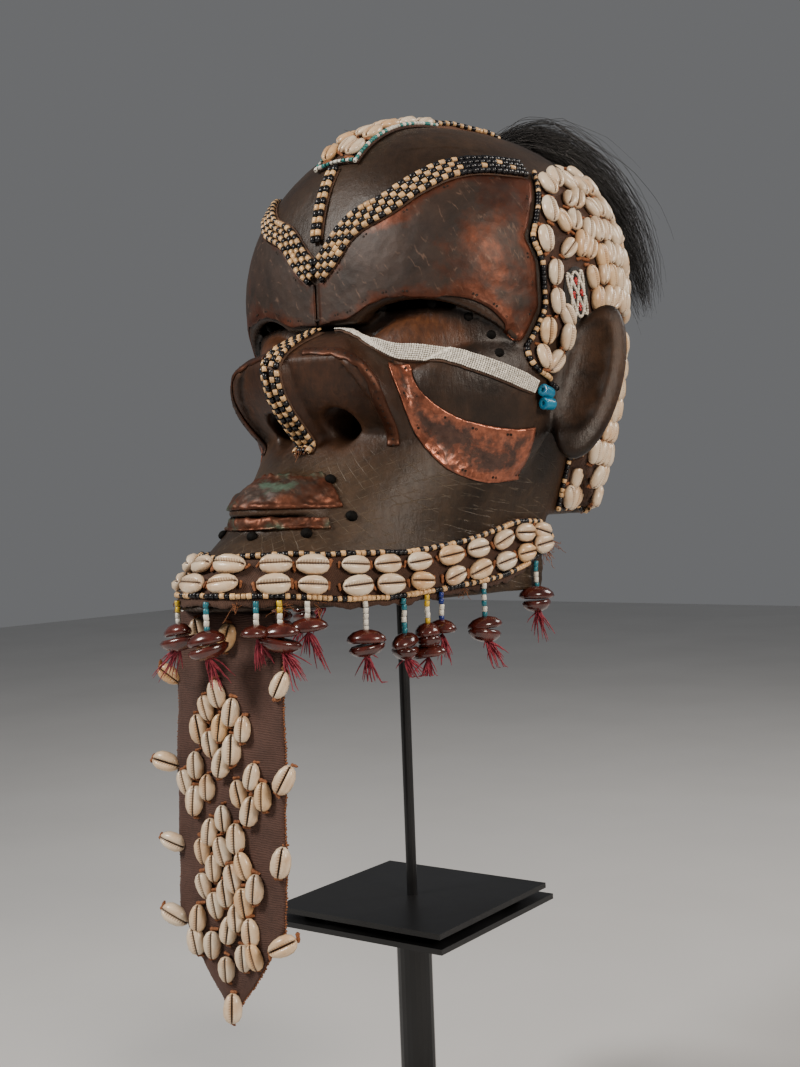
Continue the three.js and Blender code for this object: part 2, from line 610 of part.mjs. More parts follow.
// Crest: a cowrie strip on the crown's middle line, then a rolled cloth edge to the hair
const CREST_WIDTH = 40;
const crestPoint = (x, y, proud) => settle(meet(headForm, V(x, y, EQUATOR), V(0, 0, 1)), proud);
function crestStrip(front, back, steps, width, thickness, lift = LIFT) {
  const grid = (proud) =>
    Array.from({ length: steps + 1 }, (_, i) =>
      Array.from({ length: 3 }, (_, k) =>
        crestPoint((k - 1) * (width / 2), UNIT * THREE.MathUtils.lerp(front, back, i / steps), proud),
      ),
    );
  return slab(grid(lift), grid(lift + thickness));
}
const crestShells = [];
const CREST_PITCH = COWRIE_LENGTH + 2;
for (let k = 0; k < 4; k++)
  for (const side of [1, -1]) {
    const place = crestPoint(side * (COWRIE_WIDTH / 2 + 2), -41 * UNIT + CREST_PITCH * k, LIFT + 1 + CLOTH);
    crestShells.push(cowrieSolid(place, normalAt(place).normalize(), V(0, 1, 0.3)));
  }
addPiece(mask, "crest_cloth", "cloth", withCowries(fitted(crestStrip(-55, 40, 6, CREST_WIDTH, CLOTH, LIFT + 1)), crestShells));
addPiece(mask, "crest_rolled_edge", "cloth", fitted(crestStrip(47, 118, 4, 22, 7)));

// Hair: a tuft that leaves the back of the crown and sweeps down behind
const HAIR_LINE = [
  [10, 122, 346, 12],
  [18, 150, 345, 20],
  [34, 186, 334, 28],
  [50, 214, 310, 29],
  [62, 232, 280, 21],
  [66, 240, 252, 8],
];
function hairTuft() {
  const sides = 8;
  const spine = HAIR_LINE.map(([x, y, z]) => V(x, y, z).multiplyScalar(UNIT));
  const rings = spine.map((p, i) => {
    const way = spine[Math.min(i + 1, spine.length - 1)].clone().sub(spine[Math.max(i - 1, 0)]).normalize();
    const across = V(0, 0, 1).cross(way).cross(way).normalize();
    const other = way.clone().cross(across);
    const r = HAIR_LINE[i][3] * UNIT;
    return Array.from({ length: sides }, (_, k) => {
      const turn = (2 * Math.PI * k) / sides;
      return p.clone().addScaledVector(across, Math.cos(turn) * r).addScaledVector(other, Math.sin(turn) * r * 1.25);
    });
  });
  const points = [...rings.flat(), spine[0], spine[spine.length - 1]];
  const faces = [];
  for (let i = 0; i + 1 < rings.length; i++)
    for (let j = 0; j < sides; j++) {
      const [a, b] = [i * sides + j, i * sides + ((j + 1) % sides)];
      faces.push(a, b, b + sides, a, b + sides, a + sides);
    }
  const n = rings.length * sides;
  for (let j = 0; j < sides; j++) {
    faces.push((j + 1) % sides, j, n);
    faces.push(n - sides + j, n - sides + ((j + 1) % sides), n + 1);
  }
  const geometry = new THREE.BufferGeometry();
  geometry.setAttribute(
    "position",
    new THREE.BufferAttribute(new Float32Array(points.flatMap((p) => [p.x, p.y, p.z])), 3),
  );
  geometry.setIndex(faces);
  return solidOf(geometry).volume() > 0 ? geometry : turnedInsideOut(geometry);
}
const clothBelowHair = headLoft(headForm, columnsOf(20), risesOf(40, 30), LIFT + CLOTH + COWRIE_HEIGHT);
addPiece(mask, "hair_tuft", "hair", geometryOf(largest(solidOf(hairTuft()).subtract(clothBelowHair))));

// Collar: a two-row cowrie band round the jaw, narrower at its ends
const COLLAR_TOP = [[0, 33], [0.42, 35], [0.55, 40], [0.66, 47], [0.8, 51], [0.92, 50], [1, 43]];
const COLLAR_BOTTOM = [[0, 4], [0.4, 4], [0.5, 7], [0.65, 11], [0.8, 17], [0.92, 23], [1, 30]];
const COLLAR_END = 85; // degrees round
const collarAt = (share, up) => {
  const side = Math.abs(share);
  return THREE.MathUtils.lerp(along(COLLAR_BOTTOM, side, 1), along(COLLAR_TOP, side, 1), up);
};
// Degrees round at an even share of the band's length
const collarAround = (share) => Math.sign(share) * COLLAR_END * (0.42 * Math.abs(share) + 0.58 * Math.abs(share) ** 2.4);
const COLLAR_COWRIES = 11; // on each side of the middle one
const COLLAR_STEPS = 2 * COLLAR_COWRIES + 1;
const collarGrid = (proud) =>
  Array.from({ length: 3 }, (_, i) =>
    Array.from({ length: COLLAR_STEPS + 1 }, (_, j) => {
      const share = (2 * j) / COLLAR_STEPS - 1;
      return onHead(collarAround(share), collarAt(share, i / 2), proud);
    }),
  );
const collarShells = [];
for (let k = -COLLAR_COWRIES; k <= COLLAR_COWRIES; k++)
  for (const up of [0.25, 0.75]) {
    const share = (2 * k) / COLLAR_STEPS;
    const place = onHead(collarAround(share), collarAt(share, up), LIFT + CLOTH);
    const next = onHead(collarAround(share + 0.02), collarAt(share + 0.02, up), LIFT + CLOTH);
    collarShells.push(cowrieSolid(place, normalAt(place).normalize(), next.sub(place)));
  }
const collar = fitted(slab(collarGrid(LIFT), collarGrid(LIFT + CLOTH)));
addPiece(mask, "collar_cloth", "cloth", withCowries(collar, collarShells));

// Beard: a pointed strap that hangs from a tongue inside the chin, with cowries in diamonds and at its edges
const BEARD_FRONT = -179;
const BEARD_LEAN = 0.035; // its lower end hangs a little further forward
const BEARD_POINT = 62;
const BEARD_THICKNESS = 3.5;
const TONGUE = [[20, -156, 20], [2, -175, 22]]; // height, place and half width inside the chin
const beardPlace = (x, drop, out) => V(x, BEARD_FRONT * UNIT - BEARD_LEAN * drop - out, -1.5 - drop);
function beardStrap() {
  const rows = 8;
  const grid = (out) => [
    ...TONGUE.map(([z, y, half]) => [-1, 0, 1].map((side) => V(side * half, y - out, z).multiplyScalar(UNIT))),
    [-1, 0, 1].map((side) => beardPlace(side * TONGUE[1][2], -0.6, out)),
    ...Array.from({ length: rows + 1 }, (_, i) => {
      const drop = (BEARD_LENGTH * i) / rows;
      const left = clamp((BEARD_LENGTH - drop) / BEARD_POINT, 0.06, 1);
      return [-1, 0, 1].map((side) => beardPlace((side * left * BEARD_WIDTH) / 2, drop, out));
    }),
  ];
  return slab(grid(0), grid(BEARD_THICKNESS));
}
const beardShells = [];
// Places are shares of the strap's width and length
const addShell = (across, down, turn = 0) =>
  beardShells.push(
    cowrieSolid(
      beardPlace(across * BEARD_WIDTH, down * BEARD_LENGTH, BEARD_THICKNESS),
      V(0, -1, 0),
      V(Math.sin(rad(turn)), 0, Math.cos(rad(turn))),
    ),
  );
// Rows of a diamond: how many shells lie in each, and how far a row lies below the last
const ROW_DROP = 0.6 * COWRIE_LENGTH;
const ROW_PITCH = 1.45 * (COWRIE_WIDTH + 1.5);
function addDiamond(across, down, counts) {
  counts.forEach((count, row) => {
    for (let k = 0; k < count; k++)
      addShell(across + ((k - (count - 1) / 2) * ROW_PITCH) / BEARD_WIDTH, down + (row * ROW_DROP) / BEARD_LENGTH, 8 * (k % 2) - 4);
  });
}
addShell(0.01, 0.066);
addShell(-0.26, 0.053);
addDiamond(-0.055, 0.203, [1, 2, 2, 2, 1]);
addShell(-0.05, 0.29);
addDiamond(-0.295, 0.391, [1, 2, 1]);
addDiamond(0.22, 0.402, [1, 2, 1]);
addDiamond(-0.03, 0.515, [1, 2, 3, 2, 3, 2, 1]);
addDiamond(-0.26, 0.778, [1, 2]);
addDiamond(0.18, 0.786, [1, 2]);
addShell(-0.03, 0.891);
[[0.165, -1], [0.395, -1], [0.598, -1], [0.786, -1], [0.173, 1], [0.402, 1], [0.602, 1], [0.77, 1]].forEach(
  ([down, side]) => addShell(side * 0.53, down, side * 60),
);
addShell(0.01, 0.99);
addPiece(mask, "beard_strap", "cloth", withCowries(beardStrap(), beardShells));

// Pendants under the collar: a bead string, seeds and a fibre tassel, each fused as it hangs together
function pendantSolid(seeds, drop, turn) {
  const string = new THREE.CylinderGeometry(BEAD / 2, BEAD / 2, drop, 4);
  string.rotateX(Math.PI / 2);
  string.translate(0, 0, -drop / 2);
  let solid = solidOf(string);
  const pitch = SEED_HEIGHT * 0.7;
  for (let k = 0; k < seeds; k++) {
    const seed = new THREE.SphereGeometry(0.52, 7, 2);
    seed.rotateX(Math.PI / 2);
    seed.scale(SEED_LENGTH, SEED_WIDTH, SEED_HEIGHT);
    seed.rotateY(rad(14 * (k % 2 ? 1 : -1)));
    seed.rotateZ(rad(turn + 25 * k));
    seed.translate(0, 0, -drop - pitch * (k + 0.3));
    solid = solid.add(solidOf(seed));
  }
  const low = drop + pitch * (seeds - 0.4);
  const tassel = new THREE.CylinderGeometry(1.6, 5, TASSEL_LENGTH, 4);
  tassel.rotateX(Math.PI / 2);
  tassel.translate(0, 0, -low - TASSEL_LENGTH / 2);
  return geometryOf(largest(solid.add(solidOf(tassel))));
}
// Degrees round, number of seeds, how far the string drops against the usual, and degrees its seeds are turned
const PENDANTS_LEFT = [
  [1.5, 2, 0.9, 0], [8, 2, 0.8, 20], [15, 3, 0.75, 50], [22, 2, 1, 20], [28, 2, 1.15, -75], [32.7, 2, 0.9, -70],
  [38.2, 2, 0.8, -64], [49.5, 2, 1.1, 50], [77, 3, 1, 60],
];
const PENDANTS_RIGHT = [
  [8, 2, 0.9, -20], [15, 3, 0.75, -50], [22, 2, 1, -20], [30, 2, 1.1, -45], [38, 2, 1, 20], [50, 2, 1, -60], [63, 2, 1, -70],
  [76, 2, 1, 60],
];
const PENDANT_GAP = 1.6;
// Share of the band's half length at some degrees round
function collarShare(around) {
  let [low, high] = [0, 1];
  for (let k = 0; k < 20; k++) {
    const half = (low + high) / 2;
    if (collarAround(half) < around) low = half;
    else high = half;
  }
  return low;
}
function hangPendants(side, name, list) {
  list.forEach(([around, seeds, length, turn], i) => {
    const rise = collarAt(collarShare(around), 0);
    const top = onHead(side * around, rise, LIFT + CLOTH + PENDANT_GAP + BEAD / 2);
    const pendant = pendantSolid(seeds, PENDANT_STRING * length, turn);
    pendant.translate(top.x, top.y, top.z - 1);
    addPiece(mask, name + (i + 1), "pendants", pendant);
  });
}
hangPendants(1, "pendant_left_", PENDANTS_LEFT);
hangPendants(-1, "pendant_right_", PENDANTS_RIGHT);

// Black pegs left in the row of holes round the mouth
[[1.8, 46], [11.5, 47.5], [18.5, 58], [-11.5, 47.5], [-18.5, 58]].forEach((place, i) => {
  const peg = new THREE.SphereGeometry(PEG_DIAMETER / 2, 6, 4);
  const middle = onHead(...place, PEG_DIAMETER / 2 + 0.6);
  peg.translate(...middle.toArray());
  addPiece(mask, "mouth_peg_" + (i + 1), "pegs", geometryOf(solidOf(peg)));
});
mask.position.z = RIM;

// Stand: a foot plate, a tube post, two square plates on spacers, and a rod with a saddle inside the crown
const stand = new THREE.Group();
stand.rotation.z = rad(STAND_TURN);
function plate(name, size, thickness, top) {
  const mesh = addPiece(stand, name, "steel", new THREE.BoxGeometry(size, size, thickness));
  mesh.position.z = top - thickness / 2;
}
const upperUnder = PLATE_TOP - PLATE_THICKNESS;
const lowerTop = upperUnder - PLATE_SPACE;
const postTop = lowerTop - PLATE_THICKNESS;
plate("foot_plate", FOOT_SIZE, FOOT_THICKNESS, FOOT_THICKNESS);
plate("lower_plate", LOWER_PLATE, PLATE_THICKNESS, lowerTop);
plate("upper_plate", UPPER_PLATE, PLATE_THICKNESS, PLATE_TOP);
const tube = [
  [POST_DIAMETER / 2 - POST_WALL, FOOT_THICKNESS],
  [POST_DIAMETER / 2, FOOT_THICKNESS],
  [POST_DIAMETER / 2, postTop],
  [POST_DIAMETER / 2 - POST_WALL, postTop],
  [POST_DIAMETER / 2 - POST_WALL, FOOT_THICKNESS],
].map(([r, z]) => new THREE.Vector2(r, z));
addPiece(stand, "post", "steel", new THREE.LatheGeometry(tube, 20)).rotation.x = Math.PI / 2;
const SPACER_INSET = 0.36; // share of the plate's side from its middle
[[1, 1], [-1, 1], [-1, -1], [1, -1]].forEach(([a, b], i) => {
  const spacer = new THREE.CylinderGeometry(SPACER_DIAMETER / 2, SPACER_DIAMETER / 2, PLATE_SPACE, 10);
  const mesh = addPiece(stand, "plate_spacer_" + (i + 1), "steel", spacer);
  mesh.rotation.x = Math.PI / 2;
  mesh.position.set(a * SPACER_INSET * UPPER_PLATE, b * SPACER_INSET * UPPER_PLATE, lowerTop + PLATE_SPACE / 2);
});
// The saddle's height is where its edge just clears the underside of the crown
const hollowTop = Math.min(
  ...Array.from({ length: 12 }, (_, k) => {
    const turn = (2 * Math.PI * k) / 12;
    const from = V((Math.cos(turn) * SADDLE_DIAMETER) / 2, (Math.sin(turn) * SADDLE_DIAMETER) / 2, EQUATOR);
    const under = meet(coreForm, from, V(0, 0, 1));
    return under.z - WALL / normalAt(under, coreForm).normalize().z;
  }),
);
const HOLLOW_FACETS = 3; // the hollow is cut in flat faces that lie this much inside its curve
const saddleTop = RIM + hollowTop - SADDLE_GAP - HOLLOW_FACETS;
const rodProfile = [
  [0, PLATE_TOP],
  [ROD_DIAMETER / 2, PLATE_TOP],
  [ROD_DIAMETER / 2, saddleTop - SADDLE_THICKNESS],
  [SADDLE_DIAMETER / 2, saddleTop - SADDLE_THICKNESS / 2],
  [SADDLE_DIAMETER / 2, saddleTop],
  [0, saddleTop],
].map(([r, z]) => new THREE.Vector2(r, z));
addPiece(stand, "rod_with_saddle", "steel", new THREE.LatheGeometry(rodProfile, 14)).rotation.x = Math.PI / 2;

const part = new THREE.Group();
part.add(mask, stand);
export default part;
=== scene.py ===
import json
import math

import bpy
import numpy as np
import openvdb
from mathutils import Matrix, Vector, noise

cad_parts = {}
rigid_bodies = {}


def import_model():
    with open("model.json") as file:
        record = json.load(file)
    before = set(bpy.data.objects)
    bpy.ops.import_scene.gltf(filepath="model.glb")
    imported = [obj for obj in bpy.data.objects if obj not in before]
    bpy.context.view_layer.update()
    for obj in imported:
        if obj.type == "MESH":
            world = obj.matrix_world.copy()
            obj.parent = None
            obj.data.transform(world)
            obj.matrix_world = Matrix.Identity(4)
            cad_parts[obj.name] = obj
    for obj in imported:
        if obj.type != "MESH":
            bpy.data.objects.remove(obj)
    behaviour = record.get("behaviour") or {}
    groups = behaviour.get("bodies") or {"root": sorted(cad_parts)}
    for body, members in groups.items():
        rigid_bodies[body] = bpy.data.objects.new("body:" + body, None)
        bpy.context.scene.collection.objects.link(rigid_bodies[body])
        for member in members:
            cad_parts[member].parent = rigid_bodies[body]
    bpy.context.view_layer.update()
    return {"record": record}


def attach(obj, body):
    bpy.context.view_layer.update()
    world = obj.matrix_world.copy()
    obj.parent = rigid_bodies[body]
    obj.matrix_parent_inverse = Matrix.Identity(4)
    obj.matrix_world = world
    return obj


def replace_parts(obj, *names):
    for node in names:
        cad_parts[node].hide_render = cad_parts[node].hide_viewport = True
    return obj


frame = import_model()

# Camera, light and floor
# The mask is seen from its own left front, level with its mouth. A pale floor and large
# soft lamps, the main one at the upper left and a warm one behind at the right.
turn, dip, roll = (math.radians(a) for a in (40.0, 1.16, -2.12))
ahead = Vector((-math.sin(turn) * math.cos(dip), math.cos(turn) * math.cos(dip), -math.sin(dip)))
level = Vector((math.cos(turn), math.sin(turn), 0.0))
upward = level.cross(ahead)
across = math.cos(roll) * level + math.sin(roll) * upward
above = -math.sin(roll) * level + math.cos(roll) * upward
camera_data = bpy.data.cameras.new("camera")
camera_data.sensor_width = 36.0
camera_data.lens = 47.235
camera_data.clip_start = 0.01
camera = bpy.data.objects.new("camera", camera_data)
camera.matrix_world = Matrix(
    [(across[i], above[i], -ahead[i], (0.6894, -0.8204, 0.5073)[i]) for i in range(3)] + [(0, 0, 0, 1)]
)
bpy.context.scene.collection.objects.link(camera)
bpy.context.scene.camera = camera


def soft_lamp(name, place, aim, size, watts, colour):
    data = bpy.data.lights.new(name, "AREA")
    data.shape, data.size, data.energy, data.color = "DISK", size, watts, colour
    lamp = bpy.data.objects.new(name, data)
    lamp.location = place
    lamp.rotation_euler = (Vector(aim) - Vector(place)).to_track_quat("-Z", "Y").to_euler()
    bpy.context.scene.collection.objects.link(lamp)


soft_lamp("main_lamp", (-0.75, -1.55, 1.75), (0, -0.05, 0.6), 0.6, 46, (1.0, 0.95, 0.89))
soft_lamp("side_lamp", (1.7, -0.35, 1.25), (0.05, 0, 0.6), 0.6, 26, (1.0, 0.88, 0.76))
soft_lamp("back_lamp", (0.9, 1.5, 1.5), (0, 0.05, 0.62), 0.8, 16, (1.0, 0.95, 0.9))
world = bpy.data.worlds.new("studio")
bpy.context.scene.world = world
world.use_nodes = True
world.node_tree.nodes["Background"].inputs["Color"].default_value = (0.62, 0.63, 0.65, 1)
world.node_tree.nodes["Background"].inputs["Strength"].default_value = 0.24


class Finish:
    """A material with one Principled shader; node() makes a node and links or sets its inputs."""

    def __init__(self, name, **plain):
        self.material = bpy.data.materials.new(name)
        self.material.use_nodes = True
        self.tree = self.material.node_tree
        self.shader = self.tree.nodes["Principled BSDF"]
        for socket, value in plain.items():
            self.shader.inputs[socket.replace("_", " ")].default_value = value

    def node(self, kind, inputs=None, out=0, **settings):
        made = self.tree.nodes.new(kind)
        for key, value in settings.items():
            setattr(made, key, value)
        for key, value in (inputs or {}).items():
            self.feed(made.inputs[key], value)
        return made.outputs[out]

    def feed(self, socket, value):
        if isinstance(value, bpy.types.NodeSocket):
            self.tree.links.new(value, socket)
        else:
            socket.default_value = value

    def surface(self, **inputs):
        for key, value in inputs.items():
            self.feed(self.shader.inputs[key.replace("_", " ")], value)

    def place(self):
        return self.node("ShaderNodeTexCoord", out="Object")

    def painted(self, name, out="Fac"):
        return self.node("ShaderNodeAttribute", out=out, attribute_name=name)

    def noise(self, scale, vector, detail=4.0, rough=0.55, warp=0.0, out="Fac"):
        return self.node(
            "ShaderNodeTexNoise",
            {"Scale": scale, "Vector": vector, "Detail": detail, "Roughness": rough, "Distortion": warp}, out=out,
        )

    def ramp(self, value, *stops):
        made = self.tree.nodes.new("ShaderNodeValToRGB")
        band = made.color_ramp
        while len(band.elements) < len(stops):
            band.elements.new(0.5)
        for element, (position, colour) in zip(band.elements, stops):
            element.position = position
            element.color = (*colour, 1) if len(colour) == 3 else (*[colour[0]] * 3, 1)
        self.tree.links.new(value, made.inputs["Fac"])
        return made.outputs["Color"]

    def mix(self, amount, first, second, kind="MIX"):
        made = self.tree.nodes.new("ShaderNodeMix")
        made.data_type, made.blend_type = "RGBA", kind
        for socket, value in zip((made.inputs[0], made.inputs[6], made.inputs[7]), (amount, first, second)):
            if isinstance(value, tuple):
                value = (*value, 1) if len(value) == 3 else value
            self.feed(socket, value)
        return made.outputs[2]

    def math(self, kind, *values, clamp=False):
        made = self.tree.nodes.new("ShaderNodeMath")
        made.operation, made.use_clamp = kind, clamp
        for socket, value in zip(made.inputs, values):
            self.feed(socket, value)
        return made.outputs[0]

    def times(self, *values, clamp=False):
        return self.math("MULTIPLY", *values, clamp=clamp)

    def plus(self, *values):
        return self.math("ADD", *values)

    def less(self, *values):
        return self.math("SUBTRACT", *values)

    def bump(self, height, distance, strength=1.0, normal=None):
        inputs = {"Height": height, "Distance": distance, "Strength": strength}
        if normal is not None:
            inputs["Normal"] = normal
        return self.node("ShaderNodeBump", inputs)

    def use(self, effect, **inputs):
        made = self.tree.nodes.new("ShaderNodeGroup")
        made.node_tree = effect.tree
        for key, value in inputs.items():
            self.feed(made.inputs[key], value)
        return made.outputs


def speckled(name, scale, detail, dark, light, roughness, relief=None, grain=0.55, **plain):
    """A finish whose colour, roughness and relief all follow one noise."""
    finish = Finish(name, **plain)
    mottle = finish.noise(scale, finish.place(), detail, grain)
    finish.surface(Base_Color=finish.ramp(mottle, (0.3, dark), (0.7, light)),
        Roughness=finish.ramp(mottle, (0.3, (roughness[0],)), (0.7, (roughness[1],))))
    if relief:
        finish.surface(Normal=finish.bump(mottle, *relief))
    return finish


def body(name, points, faces, material, smooth=True):
    """An object whose mesh is given in millimetres, as the carver measures."""
    mesh = bpy.data.meshes.new(name)
    mesh.from_pydata((np.asarray(points) * 0.001).tolist(), [], [list(map(int, f)) for f in faces])
    mesh.validate()
    mesh.polygons.foreach_set("use_smooth", [smooth] * len(mesh.polygons))
    mesh.materials.append(material)
    made = bpy.data.objects.new(name, mesh)
    bpy.context.scene.collection.objects.link(made)
    return made


def dress(piece, slot, *nodes):
    """Fixes a piece to the part and says which solids it stands for; slot is not used."""
    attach(piece, "root")
    if nodes:
        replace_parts(piece, *nodes)
    return piece


floor_finish = Finish("pale_floor", Roughness=0.75)
floor_finish.surface(
    Base_Color=floor_finish.ramp(
        floor_finish.noise(3.0, floor_finish.place(), 3.0), (0.3, (0.60, 0.60, 0.595)), (0.7, (0.64, 0.64, 0.635))
    )
)
floor = body("floor", [(-5000, -5000, 0), (5000, -5000, 0), (5000, 5000, 0), (-5000, 5000, 0)], [(0, 1, 2, 3)],
    floor_finish.material)

# The carved helmet
# One block of dark wood, hollowed for the head: skull, overhanging brow, half-round lids, wide flat
# nose with bored nostrils, lips and flaring jaw. The ears are carved with it. Smoked and worn dark.
RIM = 442.0
MIDDLE = 52.0
EQUATOR = 674.0
WALL = 13.0
CROWN_HEIGHT = 125.0
CROWN_START = EQUATOR - RIM
HOLLOW_TOP = 632.0


def smooth_line(stations, place, column):
    at = np.array([s[0] for s in stations], float)
    value = np.array([s[column] for s in stations], float)
    place = np.clip(place, at[0], at[-1])
    i = np.clip(np.searchsorted(at, place, side="right") - 1, 0, len(at) - 2)
    slope = np.diff(value) / np.diff(at)
    lean = np.zeros(len(value))
    both = slope[1:] * slope[:-1] > 0
    lean[1:-1] = np.where(both, 2 * slope[1:] * slope[:-1] / (slope[1:] + slope[:-1] + 1e-12), 0)
    lean[0], lean[-1] = slope[0], slope[-1]
    span = at[i + 1] - at[i]
    t = (place - at[i]) / span
    return (
        (2 * t**3 - 3 * t * t + 1) * value[i] + (t**3 - 2 * t * t + t) * span * lean[i]
        + (3 * t * t - 2 * t**3) * value[i + 1] + (t**3 - t * t) * span * lean[i + 1]
    )


def union(a, b, width):
    h = np.maximum(width - np.abs(a - b), 0) / width
    return np.minimum(a, b) - h * h * width / 4


def common(a, b, width):
    return -union(-a, -b, width)


def ease(t):
    t = np.clip(t, 0, 1)
    return t * t * (3 - 2 * t)


def egg(centre, half, facing):
    round_, up, rolled = np.radians(facing)
    n = np.array([math.sin(round_) * math.cos(up), -math.cos(round_) * math.cos(up), math.sin(up)])
    side = np.array([math.cos(round_), math.sin(round_), 0.0])
    top = np.cross(side, n)
    u = math.cos(rolled) * side + math.sin(rolled) * top
    v = -math.sin(rolled) * side + math.cos(rolled) * top

    def form(x, y, z):
        d = (x - centre[0], y - centre[1], z - centre[2])
        a, b, c = (w[0] * d[0] + w[1] * d[1] + w[2] * d[2] for w in (u, n, v))
        near = np.sqrt((a / half[0]) ** 2 + (b / half[1]) ** 2 + (c / half[2]) ** 2)
        steep = np.sqrt((a / half[0] ** 2) ** 2 + (b / half[1] ** 2) ** 2 + (c / half[2] ** 2) ** 2)
        return near * (near - 1) / (steep + 1e-9)

    return form


def skull_form(x, y, z):
    height = z - 0.05 * (y - MIDDLE) - EQUATOR
    depth = np.where(y < MIDDLE, 133.0, 132.0)
    rise = np.where(height > 0, CROWN_HEIGHT, 287.0)
    arch = (np.abs(x) / 140) ** 1.95 + (np.abs(height) / rise) ** 1.95
    return ((arch ** (2.45 / 1.95) + (np.abs(y - MIDDLE) / depth) ** 2.45) ** (1 / 2.45) - 1) * 120


FACE = [(430, -212, 103), (448, -206, 102), (462, -195, 101), (478, -178, 100), (490, -161, 101),
        (502, -147, 104), (520, -128, 109), (540, -108, 115), (560, -91, 121), (600, -73, 131), (645, -64, 138)]


def face_form(x, y, z):
    boxy = 2 + 0.4 * ease((z - 540) / 60)
    depth = np.where(y < 40, 40 - smooth_line(FACE, z, 1), 134 - np.maximum(0, 560 - z) * 0.2)
    whole = (np.abs(x) / smooth_line(FACE, z, 2)) ** boxy + (np.abs(y - 40) / depth) ** boxy
    return np.maximum((whole ** (1 / boxy) - 1) * 120, z - 652)


def brow_edge(x, y):
    side = (np.abs(x) - 72) / 56
    edge = 603 + 47 * np.sqrt(np.clip(1 - side * side, 0, 1))
    edge = np.where(np.abs(x) < 72, np.maximum(edge, 637), edge)
    return edge - np.maximum(y + 8, 0) * 1.2


upper_lid = egg((73, -45, 617), (50, 18, 26), (42, 8, -12))
lower_lid = egg((98, -30, 586), (56, 18, 35), (52, -6, -17))
cheek = egg((86, -26, 565), (62, 25, 52), (48, -16, -10))
upper_lip = egg((0, -110, 501), (46, 51, 31), (0, 0, 0))
lower_lip = egg((0, -110, 498), (43, 49, 11), (0, 0, 0))
NOSE = [(538, -86, 56), (548, -94, 66), (560, -106, 71), (577, -122, 73), (592, -131, 69),
        (604, -134, 62), (614, -126, 51), (622, -112, 40), (630, -92, 28), (636, -76, 14)]


def nose_form(x, y, z):
    half = smooth_line(NOSE, z, 2)
    front = smooth_line(NOSE, z, 1) + 0.38 * x - y
    side = (x - (half - 0.12 * front)) * 0.8
    recess = 5.5 * ease((half - 9 - x) / 5) * ease((x - 8) / 5) * ease((612 - z) / 8)
    block = common(common((front + recess) * 0.85, side, 5), 540 - z, 5)
    return common(block, np.maximum(z - 634, y + 30), 4)


def bare_head(x, y, z):
    x = np.abs(x)
    skull = common(skull_form(x, y, z), brow_edge(x, y) - z, 4)
    form = union(face_form(x, y, z), cheek(x, y, z), 3)
    form = union(form, lower_lid(x, y, z), 1.5)
    form = union(form, upper_lid(x, y, z), 1.5)
    form = union(skull, form, 3)
    lips = np.minimum(common(upper_lip(x, y, z), 503 - z, 3), common(lower_lip(x, y, z), z - 502, 2))
    return union(form, union(nose_form(x, y, z), lips, 4), 5)


EAR_UP = np.array([13.0, 40.0, 108.0]) / np.linalg.norm([13.0, 40.0, 108.0])
EAR_OUT = np.array([0.8, 0.6, 0.0]) - EAR_UP * (np.array([0.8, 0.6, 0.0]) @ EAR_UP)
EAR_OUT /= np.linalg.norm(EAR_OUT)
EAR_FRONT = np.cross(EAR_OUT, EAR_UP)
ear_shell = egg((0, 0, 0), (15, 8, 42), (0, 0, 0))


def ear_form(x, y, z):
    d = (x - 151, y - 39, z - 591)
    u, n, v = (w[0] * d[0] + w[1] * d[1] + w[2] * d[2] for w in (EAR_OUT, EAR_FRONT, EAR_UP))
    ring = np.sqrt((u / 23) ** 2 + (v / 59) ** 2)
    n = n + 0.010 * u * u
    plate = common(common((ring - 1) * 23, np.abs(n) - 6, 5), -u - 22, 4)
    return common(plate, -ear_shell(u + 5, n - 7, v - 2), 4)


NOSTRIL = np.array([0.10, 0.90, 0.42]) / np.linalg.norm([0.10, 0.90, 0.42])


def nostril_form(x, y, z):
    p = (x - 29, y + 98, z - 563)
    t = p[0] * NOSTRIL[0] + p[1] * NOSTRIL[1] + p[2] * NOSTRIL[2]
    q = [p[i] - t * NOSTRIL[i] for i in range(3)]
    ring = np.sqrt((q[0] / 11.5) ** 2 + (q[2] / 15) ** 2 + (q[1] / 12) ** 2)
    return np.maximum((ring - 1) * 12, np.abs(t) - 45)


def carved_form(x, y, z):
    """Bare head with its ears and nostrils."""
    ax = np.abs(x)
    form = union(bare_head(ax, y, z), ear_form(ax, y, z), 8)
    return common(form, -nostril_form(ax, y, z), 3)


def lean_of(points, form=bare_head, step=0.6):
    x, y, z = points.T
    return np.stack(
        [
            form(x + step, y, z) - form(x - step, y, z), form(x, y + step, z) - form(x, y - step, z),
            form(x, y, z + step) - form(x, y, z - step),
        ], 1,
    ) / (2 * step)


def outward(points, form=bare_head):
    lean = lean_of(points, form)
    return lean / np.maximum(np.linalg.norm(lean, axis=1, keepdims=True), 1e-9)


def settle(points, proud, form=bare_head, rounds=7):
    """Points near the wood, brought to a height over its face."""
    points = np.array(points, float)
    for _ in range(rounds):
        lean = lean_of(points, form)
        steep = np.maximum((lean**2).sum(1), 0.2)
        points -= lean * (0.8 * form(*points.T) / steep)[:, None]
    return points + outward(points, form) * np.reshape(proud, (-1, 1))


def ray_at(around, rise):
    """Place on the head as degrees round from the nose, and height over the rim that runs on over the crown."""
    around, rise = np.broadcast_arrays(np.asarray(around, float), np.asarray(rise, float))
    over = np.clip((rise - CROWN_START) / CROWN_HEIGHT, 0, math.pi / 2)
    start = np.stack([0 * rise, 0 * rise + MIDDLE, RIM + np.minimum(rise, CROWN_START)], -1)
    a = np.radians(around)
    way = np.stack([np.sin(a) * np.cos(over), -np.cos(a) * np.cos(over), np.sin(over)], -1)
    return start.reshape(-1, 3), way.reshape(-1, 3)


